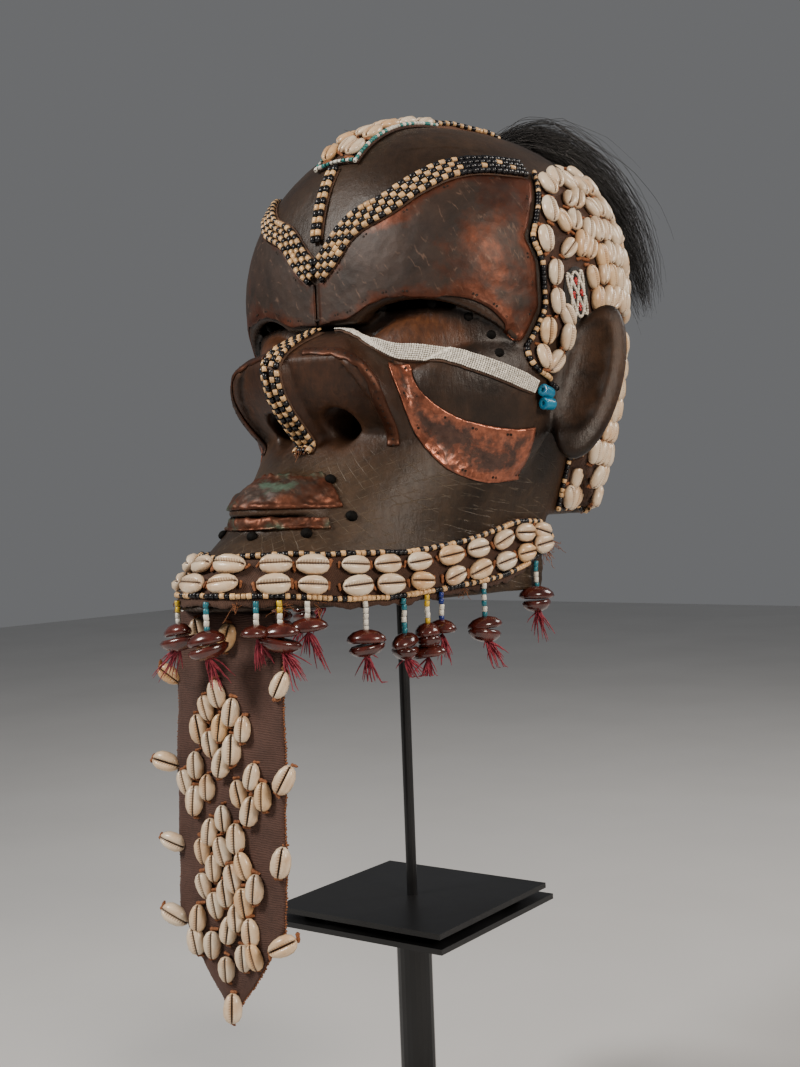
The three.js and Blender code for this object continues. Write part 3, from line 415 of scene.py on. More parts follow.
TABLE_STEP = (2.0, 4.0)
table_around, table_rise = np.meshgrid(np.arange(-180, 181, TABLE_STEP[0]), np.arange(0, 433, TABLE_STEP[1]),
    indexing="ij")
table_start, table_way = ray_at(table_around, table_rise)
reach = np.full(len(table_start), 312.0)
waiting = np.ones(len(reach), bool)
while waiting.any() and reach.max() > 6:
    there = table_start[waiting] + table_way[waiting] * reach[waiting, None]
    outside = bare_head(*there.T) > 0
    where = np.flatnonzero(waiting)
    reach[where[outside]] -= 3
    waiting[where[~outside]] = False
    waiting &= reach > 6
reach = reach.reshape(table_around.shape)


def on_wood(around, rise, proud=0.0):
    around, rise = np.broadcast_arrays(np.asarray(around, float), np.asarray(rise, float))
    a = (np.ravel(around) + 180) % 360 / TABLE_STEP[0]
    b = np.clip(np.ravel(rise), 0, 427) / TABLE_STEP[1]
    i, j = np.floor(a).astype(int) % 180, np.floor(b).astype(int)
    s, t = a - np.floor(a), b - j
    far = (
        reach[i, j] * (1 - s) * (1 - t) + reach[i + 1, j] * s * (1 - t)
        + reach[i, j + 1] * (1 - s) * t + reach[i + 1, j + 1] * s * t
    )
    start, way = ray_at(around, rise)
    return settle(start + way * far[:, None], proud)


def core_form(x, y, z):
    """The head without its carving, which the hollow follows."""
    return np.minimum(common(skull_form(x, y, z), (HOLLOW_TOP - z) / 2, 4), face_form(x, y, z))


VOXEL = 2.1
low = np.array([-180.0, -218.0, 437.0])
count = (np.array([180.0, 192.0, 806.0]) - low) / VOXEL
half = int(count[0] / 2)
gx = VOXEL * np.arange(half + 1)
gy = low[1] + VOXEL * np.arange(int(count[1]) + 1)
gz = low[2] + VOXEL * np.arange(int(count[2]) + 1)
field = np.empty((len(gx), len(gy), len(gz)), np.float32)
for k in range(len(gx)):
    y, z = np.meshgrid(gy, gz, indexing="ij")
    x = np.full_like(y, gx[k])
    outer = carved_form(x, y, z)
    core = core_form(x, y, z)
    lean_y, lean_z = np.gradient(core, VOXEL)
    step = 0.6
    core_x = (core_form(x + step, y, z) - core) / step
    steep = np.sqrt(lean_y**2 + lean_z**2 + core_x**2)
    hollow = core / np.maximum(steep, 0.25) + WALL
    rim = np.minimum(RIM + ease((y - 40) / 14) * 54 - z, 60)
    field[k] = np.maximum(np.maximum(outer, -hollow), rim)
field = np.concatenate([field[:0:-1], field])
grid = openvdb.FloatGrid(background=10.0)
grid.copyFromArray(np.clip(field, -10, 10))
points, triangles, quads = grid.convertToPolygons(isovalue=0.0, adaptivity=0.02)
points = points.astype(float) * VOXEL + np.array([-gx[-1], gy[0], gz[0]])
wood = Finish("smoked_wood")
helmet = body("helmet_wood", points, [*triangles[:, ::-1].tolist(), *quads[:, ::-1].tolist()], wood.material)


def paint(target, name, values):
    kind = "FLOAT_VECTOR" if np.ndim(values) == 2 else "FLOAT"
    layer = target.data.attributes.get(name) or target.data.attributes.new(name, kind, "POINT")
    layer.data.foreach_set("vector" if kind == "FLOAT_VECTOR" else "value", np.ravel(values).astype(np.float32))


at = np.empty(len(helmet.data.vertices) * 3, np.float32)
helmet.data.vertices.foreach_get("co", at)
at = at.reshape(-1, 3).astype(float) * 1000
ax = np.abs(at[:, 0])
face_out = outward(at, carved_form)
# crease_shade is painted shade: the wood is painted near black where it folds inward into creases and hollows.
crease_shade = np.clip((5 - carved_form(*(at + face_out * 5).T)) / 3.0, 0, 1)
proud_edge = np.clip((4 + carved_form(*(at - face_out * 4).T)) / 2.5, 0, 1)
paint(helmet, "crease_shade", crease_shade)
paint(helmet, "edge", proud_edge * (ax < 128))
lid_mask = ease((2.5 - np.abs(upper_lid(ax, at[:, 1], at[:, 2]))) / 2) * (at[:, 2] < 645)
paint(helmet, "lid", lid_mask)
paint(helmet, "jaw", ease((556 - at[:, 2]) / 30) * ease((60 - at[:, 1]) / 30))
paint(helmet, "nose", ease((-82 - at[:, 1]) / 16) * ease((at[:, 2] - 538) / 14) * ease((92 - ax) / 16))
paint(helmet, "crown", ease((at[:, 2] - 640) / 30))

spot = wood.place()
patch = wood.noise(14.0, spot, 6.0, 0.6, 0.3)
fine = wood.noise(160.0, spot, 5.0, 0.65)
grain_place = wood.node("ShaderNodeMapping", {"Vector": spot, "Scale": (60.0, 60.0, 9.0)})
grain = wood.noise(4.0, grain_place, 6.0, 0.7, 0.4)
tone = wood.ramp(patch, (0.30, (0.011, 0.007, 0.005)), (0.48, (0.028, 0.0155, 0.009)), (0.62, (0.056, 0.028, 0.014)),
    (0.75, (0.072, 0.044, 0.025)))
tone = wood.mix(wood.times(wood.painted("lid"), 0.85), tone,
    wood.ramp(grain, (0.3, (0.050, 0.018, 0.008)), (0.7, (0.135, 0.050, 0.018))))
tone = wood.mix(wood.times(wood.painted("nose"), 0.7), tone,
    wood.ramp(grain, (0.3, (0.026, 0.012, 0.007)), (0.7, (0.075, 0.030, 0.014))))
tone = wood.mix(wood.times(wood.painted("jaw"), 0.8), tone,
    wood.ramp(patch, (0.3, (0.018, 0.0115, 0.007)), (0.7, (0.064, 0.041, 0.023))))
tone = wood.mix(wood.times(wood.painted("crown"), 0.75), tone,
    wood.ramp(patch, (0.3, (0.015, 0.0095, 0.006)), (0.7, (0.058, 0.036, 0.021))))
tone = wood.mix(0.35, tone, wood.ramp(fine, (0.35, (0.10, 0.08, 0.06)), (0.65, (0.62, 0.52, 0.44))), "OVERLAY")
tone = wood.mix(wood.times(wood.painted("edge"), 0.4, clamp=True), tone, (0.12, 0.052, 0.024))
# Painted shade in the creases and hollows of the wood.
tone = wood.mix(wood.times(wood.painted("crease_shade"), 0.85, clamp=True), tone, (0.006, 0.004, 0.003))


def scratches(finish, turned, scale, thin):
    laid = finish.node("ShaderNodeMapping", {"Vector": finish.place(), "Rotation": turned})
    wave = finish.node(
        "ShaderNodeTexWave", {"Vector": laid, "Scale": scale, "Distortion": 1.2, "Detail": 3.0, "Detail Scale": 1.4}
    )
    return finish.ramp(wave, (thin, (0.0,)), (1.0, (1.0,)))


cross_one = scratches(wood, (0.3, 0.75, 0.2), 66.0, 0.965)
cross_two = scratches(wood, (-0.4, -0.7, 0.5), 58.0, 0.97)
broken = wood.ramp(wood.noise(95.0, spot, 4.0), (0.44, (0.0,)), (0.62, (1.0,)))
scored = wood.times(wood.math("MAXIMUM", cross_one, cross_two), broken)
scored = wood.times(scored, wood.painted("jaw"))
tone = wood.mix(wood.times(scored, 0.4), tone, (0.17, 0.13, 0.085))
relief = wood.plus(wood.times(grain, 0.5), wood.times(fine, 0.5))
relief = wood.less(relief, wood.times(scored, 0.25))
wood.surface(
    Base_Color=tone, Roughness=wood.ramp(patch, (0.3, (0.34,)), (0.7, (0.54,))),
    Normal=wood.bump(relief, 0.0014, 0.6),
)
wood.shader.inputs["Specular IOR Level"].default_value = 0.34
dress(helmet, "wood", "carved_helmet")

# Copper on the forehead
# Two beaten copper sheets nailed over the brow, from the edge of the eye hollows up to the beads. They
# are worn red at the edges and covered with a dark grey-brown crust; fine nails run along the edge.


def length_of(line):
    return np.linalg.norm(np.diff(line, axis=0), axis=1).sum()


def unit(ways):
    return ways / np.linalg.norm(ways, axis=1, keepdims=True)


def even_line(points, count):
    points = np.asarray(points, float)
    walked = np.r_[0, np.cumsum(np.linalg.norm(np.diff(points, axis=0), axis=1))]
    want = np.linspace(0, walked[-1], count)
    return np.stack([np.interp(want, walked, points[:, k]) for k in range(3)], 1)


def trail(path, count=None, pitch=4.0):
    """Evenly spaced places on the wood along a path of degrees round and height."""
    path = np.array(path, float)
    walked = np.r_[0, np.cumsum(np.hypot(np.diff(path[:, 0]) * 2.3, np.diff(path[:, 1])))]
    marks = np.c_[walked, path]
    fine_line = np.linspace(0, walked[-1], 160)
    points = on_wood(smooth_line(marks, fine_line, 1), smooth_line(marks, fine_line, 2))
    if count is None:
        count = int(length_of(points) / pitch) + 1
    return settle(even_line(points, count), 0.0, rounds=2)


def sideways(points, out=None):
    way = unit(np.gradient(points, axis=0))
    out = outward(points) if out is None else np.broadcast_to(out, points.shape)
    return way, out, unit(np.cross(out, way))


def beside(points, distance):
    return settle(points + sideways(points)[2] * np.reshape(distance, (-1, 1)), 0.0, rounds=3)


def patch(low_edge, high_edge, n, m, front=None, rear=None):
    """Places on the wood that fill the space between two edges, or between four."""
    low_edge, high_edge = even_line(low_edge, n), even_line(high_edge, n)
    s, t = np.linspace(0, 1, n)[:, None, None], np.linspace(0, 1, m)[None, :, None]
    grid = (1 - t) * low_edge[:, None] + t * high_edge[:, None]
    if rear is not None:
        straight = [(1 - t[0]) * low_edge[k] + t[0] * high_edge[k] for k in (0, -1)]
        front = straight[0] if front is None else even_line(front, m)
        grid = grid + (1 - s) * (front - straight[0])[None] + s * (even_line(rear, m) - straight[1])[None]
    return settle(grid.reshape(-1, 3), 0.0).reshape(n, m, 3)


def rough(points, size, seed):
    flat = np.reshape(points, (-1, 3)) / size + seed * 7.3
    return np.array([noise.noise(Vector(p)) for p in flat]).reshape(np.shape(points)[:-1])


def cover(name, grid, under, over, finish, out=None):
    """A closed sheet over a grid of places, between two heights. Its UV map is in metres, and the
    attribute rim is 0 at its edge and 1 from 12 mm inside."""
    n, m = grid.shape[:2]
    flat = grid.reshape(-1, 3)
    out = outward(flat) if out is None else np.broadcast_to(out, flat.shape)
    top = flat + out * np.broadcast_to(over, (n, m)).reshape(-1, 1)
    low_side = flat + out * np.broadcast_to(under, (n, m)).reshape(-1, 1)
    a = np.arange(n * m).reshape(n, m)
    quads = np.stack([a[:-1, :-1], a[1:, :-1], a[1:, 1:], a[:-1, 1:]], -1).reshape(-1, 4)
    edge = np.r_[a[:-1, 0], a[-1, :-1], a[:0:-1, -1], a[0, :0:-1]]
    after = np.roll(edge, -1)
    walls = np.stack([after, edge, edge + n * m, after + n * m], -1)
    faces = np.r_[quads, quads[:, ::-1] + n * m, walls]
    across_one, across_two = top[a[1:, :-1]] - top[a[:-1, :-1]], top[a[:-1, 1:]] - top[a[:-1, :-1]]
    if (np.cross(across_one, across_two) * out[a[:-1, :-1]]).sum() < 0:
        faces = faces[:, ::-1]
    made = body(name, np.r_[top, low_side], faces, finish)
    u = np.zeros((n, m))
    v = np.zeros((n, m))
    u[1:] = np.cumsum(np.linalg.norm(np.diff(grid, axis=0), axis=2), axis=0)
    v[:, 1:] = np.cumsum(np.linalg.norm(np.diff(grid, axis=1), axis=2), axis=1)
    rim = np.minimum(np.minimum(u, u[-1:] - u), np.minimum(v, v[:, -1:] - v)) / 12
    paint(made, "rim", np.tile(np.clip(rim, 0, 1).ravel(), 2))
    where = np.stack([(u - u[-1:] / 2).ravel(), (v - v[:, -1:] / 2).ravel()], 1) * 0.001
    corner = np.empty(len(made.data.loops), np.int32)
    made.data.loops.foreach_get("vertex_index", corner)
    made.data.uv_layers.new(name="UVMap").data.foreach_set("uv", where[corner % (n * m)].ravel().astype(np.float32))
    return made


def mirror(points):
    return np.asarray(points) * np.array([-1.0, 1.0, 1.0])


def both_sides(points):
    return (("left", points), ("right", mirror(points)))


def shared_effect(name, takes, gives):
    effect = Finish.__new__(Finish)
    effect.tree = bpy.data.node_groups.new(name, "ShaderNodeTree")
    for label, kind, value in takes:
        made = effect.tree.interface.new_socket(name=label, in_out="INPUT", socket_type="NodeSocket" + kind)
        if value is not None:
            made.default_value = value
    for label, kind in gives:
        effect.tree.interface.new_socket(name=label, in_out="OUTPUT", socket_type="NodeSocket" + kind)
    effect.takes = effect.tree.nodes.new("NodeGroupInput").outputs
    effect.gives = effect.tree.nodes.new("NodeGroupOutput").inputs
    return effect


patina = shared_effect(
    "copper_patina",
    [("Vector", "Vector", None), ("Scale", "Float", 1.0), ("Crust", "Float", 0.5), ("Rim", "Float", 1.0),
     ("Bare", "Color", (0.3, 0.1, 0.05, 1)), ("Dark", "Color", (0.05, 0.035, 0.028, 1))],
    [("Colour", "Color"), ("Crusted", "Float"), ("Height", "Float")],
)
sized = patina.node("ShaderNodeVectorMath", {0: patina.takes["Vector"], "Scale": patina.takes["Scale"]},
    operation="SCALE")
broad = patina.noise(13.0, sized, 6.0, 0.62, 0.5)
small = patina.noise(85.0, sized, 5.0, 0.65)
crusted = patina.plus(patina.times(broad, 1.25), patina.times(small, 0.45))
crusted = patina.plus(crusted, patina.times(patina.takes["Rim"], 0.30))
crusted = patina.less(crusted, patina.less(1.55, patina.takes["Crust"]))
crusted = patina.times(crusted, 4.0, clamp=True)
bare = patina.mix(patina.times(small, 0.55), patina.takes["Bare"], patina.takes["Dark"])
tint = patina.mix(crusted, bare, patina.takes["Dark"])
tint = patina.mix(0.55, tint, patina.ramp(patina.noise(34.0, sized, 5.0, 0.7), (0.36, (0.16, 0.13, 0.12)),
    (0.64, (0.84, 0.74, 0.68))),
    "OVERLAY")
swept = patina.node("ShaderNodeMapping", {"Vector": sized, "Rotation": (0.5, 0.9, 0.3), "Scale": (1.0, 6.0, 1.0)})
arcs = patina.node("ShaderNodeTexWave", {"Vector": swept, "Scale": 28.0, "Distortion": 9.0, "Detail": 3.0,
    "Detail Scale": 1.2})
arcs = patina.times(patina.ramp(arcs, (0.93, (0.0,)), (1.0, (1.0,))),
    patina.ramp(small, (0.5, (0.0,)), (0.62, (1.0,))))
tint = patina.mix(patina.times(arcs, 0.35), tint, (0.26, 0.15, 0.10))
patina.feed(patina.gives["Colour"], tint)
patina.feed(patina.gives["Crusted"], crusted)
patina.feed(patina.gives["Height"], patina.plus(patina.times(broad, 0.6), patina.times(small, 0.3)))


def beaten_copper(name, bare, dark, crust, scale, shine, dent, fade=0.0):
    """The crust gives way by fade to bare copper towards the temples and the lower edge."""
    finish = Finish(name)
    spot = finish.node("ShaderNodeSeparateXYZ", {0: finish.place()})
    outer = finish.less(finish.math("ABSOLUTE", spot), 0.075)
    lower = finish.less(0.675, spot.node.outputs[2])
    crust = finish.less(crust, finish.times(finish.plus(outer, finish.times(lower, 0.8)), fade))
    worn = finish.use(patina, Vector=finish.place(), Scale=scale, Crust=crust, Rim=finish.painted("rim"),
        Bare=(*bare, 1), Dark=(*dark, 1))
    colour, covered, height = worn["Colour"], worn["Crusted"], worn["Height"]
    marks = finish.node("ShaderNodeTexVoronoi", {"Vector": finish.place(), "Scale": 150.0, "Randomness": 1.0})
    height = finish.plus(height, finish.times(marks, dent))
    finish.surface(
        Base_Color=colour, Metallic=finish.less(0.75, finish.times(covered, 0.5)),
        Roughness=finish.plus(shine, finish.times(covered, 0.12)), Normal=finish.bump(height, 0.0016, 0.6),
    )
    return finish


brow_copper = beaten_copper("brow_copper", (0.130, 0.042, 0.022), (0.032, 0.019, 0.013), 0.74, 1.0, 0.44, 0.2, 2.0)
BROW_EDGE = [(0.8, 198), (12, 199), (21, 208), (29, 211), (39, 209), (47, 206.5), (53, 200.5), (57.8, 190),
    (61.2, 178)]
V_PATH = [(1.2, 233.5), (4.6, 240), (14.5, 262), (25.5, 272), (34.4, 284), (46.9, 296), (59.7, 300), (73, 301)]
CAP_FRONT = np.array([(143, 79), (158, 66), (170, 64), (186, 68), (201, 71), (232, 70.5), (247, 67.5), (277, 74.5),
    (300, 79)])
v_line = trail(V_PATH)
v_low = beside(v_line, -9.8)
v_low = np.r_[on_wood(0.8, np.array([226.0])), v_low]
rear_rise = np.linspace(177, 291, 40)
rear_edge = on_wood(np.interp(rear_rise, CAP_FRONT[:, 0], CAP_FRONT[:, 1]) - 2.2, rear_rise)
brow_grid = patch(np.r_[trail(BROW_EDGE), rear_edge[:1]], np.r_[v_low, rear_edge[-1:]], 76, 46, None, rear_edge)
lumps = 0.55 * rough(brow_grid, 26, 1) + 0.22 * rough(brow_grid, 8, 2)
for side_name, turned in both_sides(brow_grid):
    dress(cover("brow_sheet_" + side_name, turned, 0.2, 1.5 + lumps, brow_copper.material), "copper", "brow_copper_"
        + side_name)

# Nails of the copper
# Short iron nails in pairs along the copper's edges, each in a small dark pit.


def step(tree, kind, links=None, **settings):
    made = tree.nodes.new(kind)
    for key, value in settings.items():
        setattr(made, key, value)
    for key, value in (links or {}).items():
        if isinstance(value, bpy.types.NodeSocket):
            tree.links.new(value, made.inputs[key])
        else:
            made.inputs[key].default_value = value
    return made.outputs


def kept(tree, name, kind="FLOAT_VECTOR"):
    return step(tree, "GeometryNodeInputNamedAttribute", {"Name": name}, data_type=kind)["Attribute"]


def new_tree(name, *takes):
    tree = bpy.data.node_groups.new(name, "GeometryNodeTree")
    for label, kind in (("Geometry", "Geometry"), ("Finish", "Material"), *takes):
        tree.interface.new_socket(name=label, in_out="INPUT", socket_type="NodeSocket" + kind)
    tree.interface.new_socket(name="Geometry", in_out="OUTPUT", socket_type="NodeSocketGeometry")
    return tree, tree.nodes.new("NodeGroupInput").outputs


def end_tree(tree, laid, finish):
    laid = step(tree, "GeometryNodeRealizeInstances", {"Geometry": laid})[0]
    laid = step(tree, "GeometryNodeSetMaterial", {"Geometry": laid, "Material": finish})[0]
    tree.links.new(laid, tree.nodes.new("NodeGroupOutput").inputs[0])


placing, given = new_tree("pieces_in_place", ("Piece", "Object"), ("Seed", "Int"), ("Wobble", "Float"))
facing = step(placing, "FunctionNodeAxesToRotation",
    {"Primary Axis": kept(placing, "out"), "Secondary Axis": kept(placing, "aim")},
    primary_axis="Z", secondary_axis="X")[0]
chance = step(placing, "FunctionNodeRandomValue", {0: (-1.0, -1.0, -1.0), 1: (1.0, 1.0, 1.0), "Seed": given["Seed"]},
    data_type="FLOAT_VECTOR")[0]
chance = step(placing, "ShaderNodeVectorMath", {0: chance, "Scale": given["Wobble"]}, operation="SCALE")[0]
chance = step(placing, "FunctionNodeEulerToRotation", {0: chance})[0]
facing = step(placing, "FunctionNodeRotateRotation", {"Rotation": facing, "Rotate By": chance},
    rotation_space="LOCAL")[0]
shape = step(placing, "GeometryNodeObjectInfo", {"Object": given["Piece"]})["Geometry"]
laid = step(placing, "GeometryNodeInstanceOnPoints",
    {"Points": given["Geometry"], "Instance": shape, "Rotation": facing, "Scale": kept(placing, "size")})[0]
end_tree(placing, laid, given["Finish"])


def worked(holder, tree, **inputs):
    """Runs a Geometry Nodes tree on an object and keeps the result as its plain mesh."""
    modifier = holder.modifiers.new("made", "NODES")
    modifier.node_group = tree
    for item in tree.interface.items_tree:
        if item.in_out == "INPUT" and item.name in inputs:
            modifier[item.identifier] = inputs[item.name]
    seen = bpy.context.evaluated_depsgraph_get()
    holder.data = bpy.data.meshes.new_from_object(holder.evaluated_get(seen), preserve_all_data_layers=True,
        depsgraph=seen)
    holder.modifiers.clear()
    return holder


def template(name, points, faces):
    mesh = bpy.data.meshes.new(name)
    mesh.from_pydata(np.asarray(points, float).tolist(), [], [list(map(int, f)) for f in faces])
    mesh.polygons.foreach_set("use_smooth", [True] * len(mesh.polygons))
    return bpy.data.objects.new(name, mesh)


def place_pieces(name, piece, finish, points, aim, out, size, tint=None, wobble=0.0, seed=1):
    """Copies of a small piece at points in mm, its length along aim and its upper side along out."""
    points = np.asarray(points, float)
    mesh = bpy.data.meshes.new(name + "_places")
    mesh.from_pydata((points * 0.001).tolist(), [], [])
    holder = bpy.data.objects.new(name, mesh)
    bpy.context.scene.collection.objects.link(holder)
    values = {"aim": aim, "out": out, "size": np.asarray(size, float) * 0.001, "tint": (1, 1, 1) if tint is None
        else tint}
    for key, value in values.items():
        paint(holder, key, np.broadcast_to(np.asarray(value, float), points.shape))
    worked(holder, placing, Piece=piece, Finish=finish, Wobble=wobble, Seed=seed)
    for key in ("aim", "out", "size"):
        if key in holder.data.attributes:
            holder.data.attributes.remove(holder.data.attributes[key])
    return holder


def turned_piece(name, rings, sides):
    """A lathe-turned piece along X: rings of (place, radius); its two ends are closed."""
    angle = np.arange(sides) * 2 * math.pi / sides
    points = [(x, r * math.cos(a), r * math.sin(a)) for x, r in rings for a in angle]
    faces = [(i * sides + j, i * sides + (j + 1) % sides, (i + 1) * sides + (j + 1) % sides, (i + 1) * sides + j)
        for i in range(len(rings) - 1) for j in range(sides)]
    faces = [f[::-1] for f in faces]
    faces += [tuple(reversed(range(sides))), tuple(range((len(rings) - 1) * sides, len(rings) * sides))]
    return template(name, points, faces)


def domed_piece(name, rings, sides, low, top, skew=0.0):
    """A round piece along Z with a point at each end: rings of (radius, height)."""
    angle = np.arange(sides) * math.pi / (sides / 2)
    points = [low] + [(r * math.cos(a), r * math.sin(a) * (1 - skew * math.cos(a)), h) for r, h in rings
        for a in angle]
    after = [(j, (j + 1) % sides) for j in range(sides)]
    faces = [(0, 1 + b, 1 + a) for a, b in after]
    starts = [1 + i * sides for i in range(len(rings))]
    faces += [(k + a, k + b, k + sides + b, k + sides + a) for k in starts[:-1] for a, b in after]
    faces += [(starts[-1] + a, starts[-1] + b, starts[-1] + sides) for a, b in after]
    return template(name, points + [top], faces)


angle = np.arange(8) * math.pi / 4
pit_points = [(r * math.cos(a), r * math.sin(a), h) for r,
    h in ((0.5, -0.15), (0.5, 0.10), (0.32, 0.22), (0.18, 0.05)) for a in angle]
pit_faces = [(i * 8 + j, i * 8 + (j + 1) % 8, (i + 1) * 8 + (j + 1) % 8, (i + 1) * 8 + j) for i in range(3)
    for j in range(8)]
nail = template("nail", pit_points, [*pit_faces, tuple(range(24, 32)), tuple(reversed(range(8)))])
iron = Finish("nail_iron", Metallic=0.4)
iron.surface(Base_Color=iron.ramp(iron.noise(400.0, iron.place()), (0.3, (0.006, 0.004, 0.003)),
    (0.7, (0.035, 0.018, 0.010))),
    Roughness=iron.ramp(iron.noise(300.0, iron.place()), (0.3, (0.5,)), (0.7, (0.8,))))


def nail_pairs(edge, inside, pitch, proud):
    """Pairs of places a little inside an edge."""
    line = even_line(edge, max(int(length_of(edge) / pitch), 2))
    way, out, side = sideways(line)
    line = settle(line + side * inside + way * np.random.default_rng(len(line)).uniform(-2, 2, (len(line), 1)), 0.0,
        rounds=3)
    both = np.r_[line - way * 1.3, line + way * 1.3]
    return both + outward(both) * proud


nail_places = np.r_[
    nail_pairs(trail(BROW_EDGE), 4.0, 13, 1.35), nail_pairs(rear_edge, 4.0, 19, 1.35),
    nail_pairs(v_low[4:], -3.5, 24, 1.4)
]
nail_places = np.r_[nail_places, mirror(nail_places)]
dress(place_pieces("brow_nails", nail, iron.material, nail_places, (1, 0.2, 0.1), outward(nail_places),
    (1.7, 1.7, 1.7)), "copper")

# Copper on the cheeks
# A bright crescent of copper under each lower lid, hammered from behind, with pairs of nails.
cheek_copper = beaten_copper("cheek_copper", (0.44, 0.160, 0.095), (0.070, 0.036, 0.026), 0.64, 3.6, 0.31, 1.0)
CHEEK_EDGE = [(25.5, 163), (28, 145), (30.5, 123), (34.5, 104), (42, 87), (55, 79), (67, 81)]
LID_EDGE = [(31, 163), (33, 148), (38, 134), (47, 122), (57, 117), (62, 116), (68, 117)]
cheek_line, lid_line = trail(CHEEK_EDGE), trail(LID_EDGE)
cheek_grid = patch(cheek_line, lid_line, 70, 26)
lumps = 0.45 * rough(cheek_grid, 12, 3) + 0.36 * rough(cheek_grid, 4.2, 4)
for side_name, turned in both_sides(cheek_grid):
    dress(cover("cheek_sheet_" + side_name, turned, 0.1, 1.3 + lumps, cheek_copper.material), "copper",
        "cheek_copper_" + side_name)
nail_places = np.r_[nail_pairs(cheek_line, 4.0, 20, 1.2), nail_pairs(lid_line, -4.0, 17, 1.2)]
nail_places = np.r_[nail_places, mirror(nail_places)]
dress(place_pieces("cheek_nails", nail, iron.material, nail_places, (0, 1, 0.1), outward(nail_places),
    (2.0, 2.0, 1.8)), "copper")

# Copper on the lips
# Thin copper drawn over both lips. It is crumpled, rolled at its edges and touched with verdigris.
lip_copper = beaten_copper("lip_copper", (0.165, 0.060, 0.033), (0.040, 0.025, 0.018), 0.58, 1.8, 0.46, 0.4)
green = lip_copper.ramp(lip_copper.noise(42.0, lip_copper.place(), 5.0, 0.6, 0.6), (0.50, (0.0,)), (0.62, (1.0,)))
under_green = lip_copper.shader.inputs["Base Color"].links[0].from_socket
lip_copper.surface(Base_Color=lip_copper.mix(lip_copper.times(green, 0.7), under_green, (0.085, 0.15, 0.105)))


def lip_grid(heights, spread, n, m):
    around = np.radians(np.linspace(-spread, spread, n))[:, None]
    up = np.radians(np.interp(np.linspace(0, 1, m), np.linspace(0, 1, len(heights)), heights))[None, :]
    way = np.stack(np.broadcast_arrays(np.sin(around) * np.cos(up), -np.cos(around) * np.cos(up), np.sin(up)), -1)
    way = way.reshape(-1, 3)
    heart = np.array([0, -104.0, 498.0])
    near_side, far_side = np.full(len(way), 8.0), np.full(len(way), 95.0)
    for _ in range(22):
        middle = (near_side + far_side) / 2
        within = bare_head(*(heart + way * middle[:, None]).T) < 0
        near_side, far_side = np.where(within, middle, near_side), np.where(within, far_side, middle)
    return (heart + way * middle[:, None]).reshape(n, m, 3)


for label, heights, spread, rows in (("upper_lip", (10, 22, 36, 50), 74, 30), ("lower_lip", (-5, -1, 3), 62, 12)):
    places = lip_grid(heights, spread, 96, rows)
    lumps = 1.2 * rough(places, 11, 5) + 1.0 * rough(places, 4.5, 6) + 0.4 * rough(places, 2.2, 21)
    rolled_edge = np.exp(-((np.arange(rows) - rows + 2.0) / 1.6) ** 2) * (1.6 if rows > 20 else 0.5)
    rolled_edge = rolled_edge + np.exp(-((np.arange(rows) - 1.5) / 1.3) ** 2) * 0.9
    dress(cover(label + "_sheet", places, 0.1, np.maximum(1.6 + lumps + rolled_edge * (1 + rough(places, 5, 7)), 0.6),
        lip_copper.material), "copper", label + "_copper")

# Rims of the nostril panels
# A raised copper-brown strip round the top and side of each nose panel, pricked with a row of nails.
RIM_PATH = [(6, 173), (12, 172), (19.5, 164), (23.5, 150), (25, 133), (26, 117), (26, 106)]
rim_copper = beaten_copper("rim_copper", (0.095, 0.036, 0.019), (0.026, 0.017, 0.012), 0.62, 1.4, 0.45, 0.1)
rim_line = trail(RIM_PATH, pitch=1.6)
lanes = np.linspace(-4.4, 4.4, 7)
rim_grid = np.stack([beside(rim_line, lane) for lane in lanes], 1)
roll_up = 0.7 + 1.1 * np.cos(lanes / 4.5 * math.pi / 2)[None] ** 0.4 + 0.3 * rough(rim_grid, 6, 8)
rim_nails = []
for side_name, turned in both_sides(rim_grid):
    dress(cover("nose_rim_strip_" + side_name, turned, 0.0, roll_up, rim_copper.material), "wood", "nose_rim_"
        + side_name)
    line = even_line(turned[:, 3], 24)
    rim_nails.append(line + outward(line) * 1.75)
rim_nails = np.concatenate(rim_nails)
dress(place_pieces("nose_nails", nail, iron.material, rim_nails, (0, 1, 0.1), outward(rim_nails), (1.5, 1.5, 1.4)),
    "copper")

# Checked bead bands
# Cream and black glass tube beads threaded in rows on a strip of brown hide: a wide V over the brow, two
# columns on the middle of the forehead, and four down the nose, which end in loose fibre.
bead = turned_piece("bead", [(-0.5, 0.36), (-0.44, 0.49), (0.44, 0.49), (0.5, 0.36)], 8)
bead_glass = Finish("bead_glass")
bead_tint = bead_glass.painted("tint", "Color")
bead_glass.surface(
    Base_Color=bead_glass.mix(0.25, bead_tint, bead_glass.ramp(bead_glass.noise(600.0, bead_glass.place(), 3.0),
    (0.3, (0.25, 0.2, 0.15)), (0.7, (0.9, 0.85, 0.8))), "OVERLAY"),
    Roughness=bead_glass.ramp(bead_glass.noise(420.0, bead_glass.place()), (0.3, (0.20,)), (0.7, (0.42,))),
)
hide = speckled("brown_hide", 240.0, 5.0, (0.022, 0.012, 0.007), (0.12, 0.055, 0.026), (0.6, 0.8), (0.0008, 0.6), 0.7)
CREAM, JET = np.array([0.66, 0.42, 0.21]), np.array([0.006, 0.006, 0.008])


def strip_of_hide(name, line, half, over=1.0):
    grid = np.stack([beside(line, lane * half) for lane in (-1.0, -0.85, 0.0, 0.85, 1.0)], 1)
    if line[:, 0].mean() > 15:
        grid[..., 0] = np.maximum(grid[..., 0], 0.05)
    piece = cover(name, grid, 0.05, over + np.array([-0.35, 0.1, 0.1, 0.1, -0.35])[None], hide.material)
    return dress(piece, "beads")


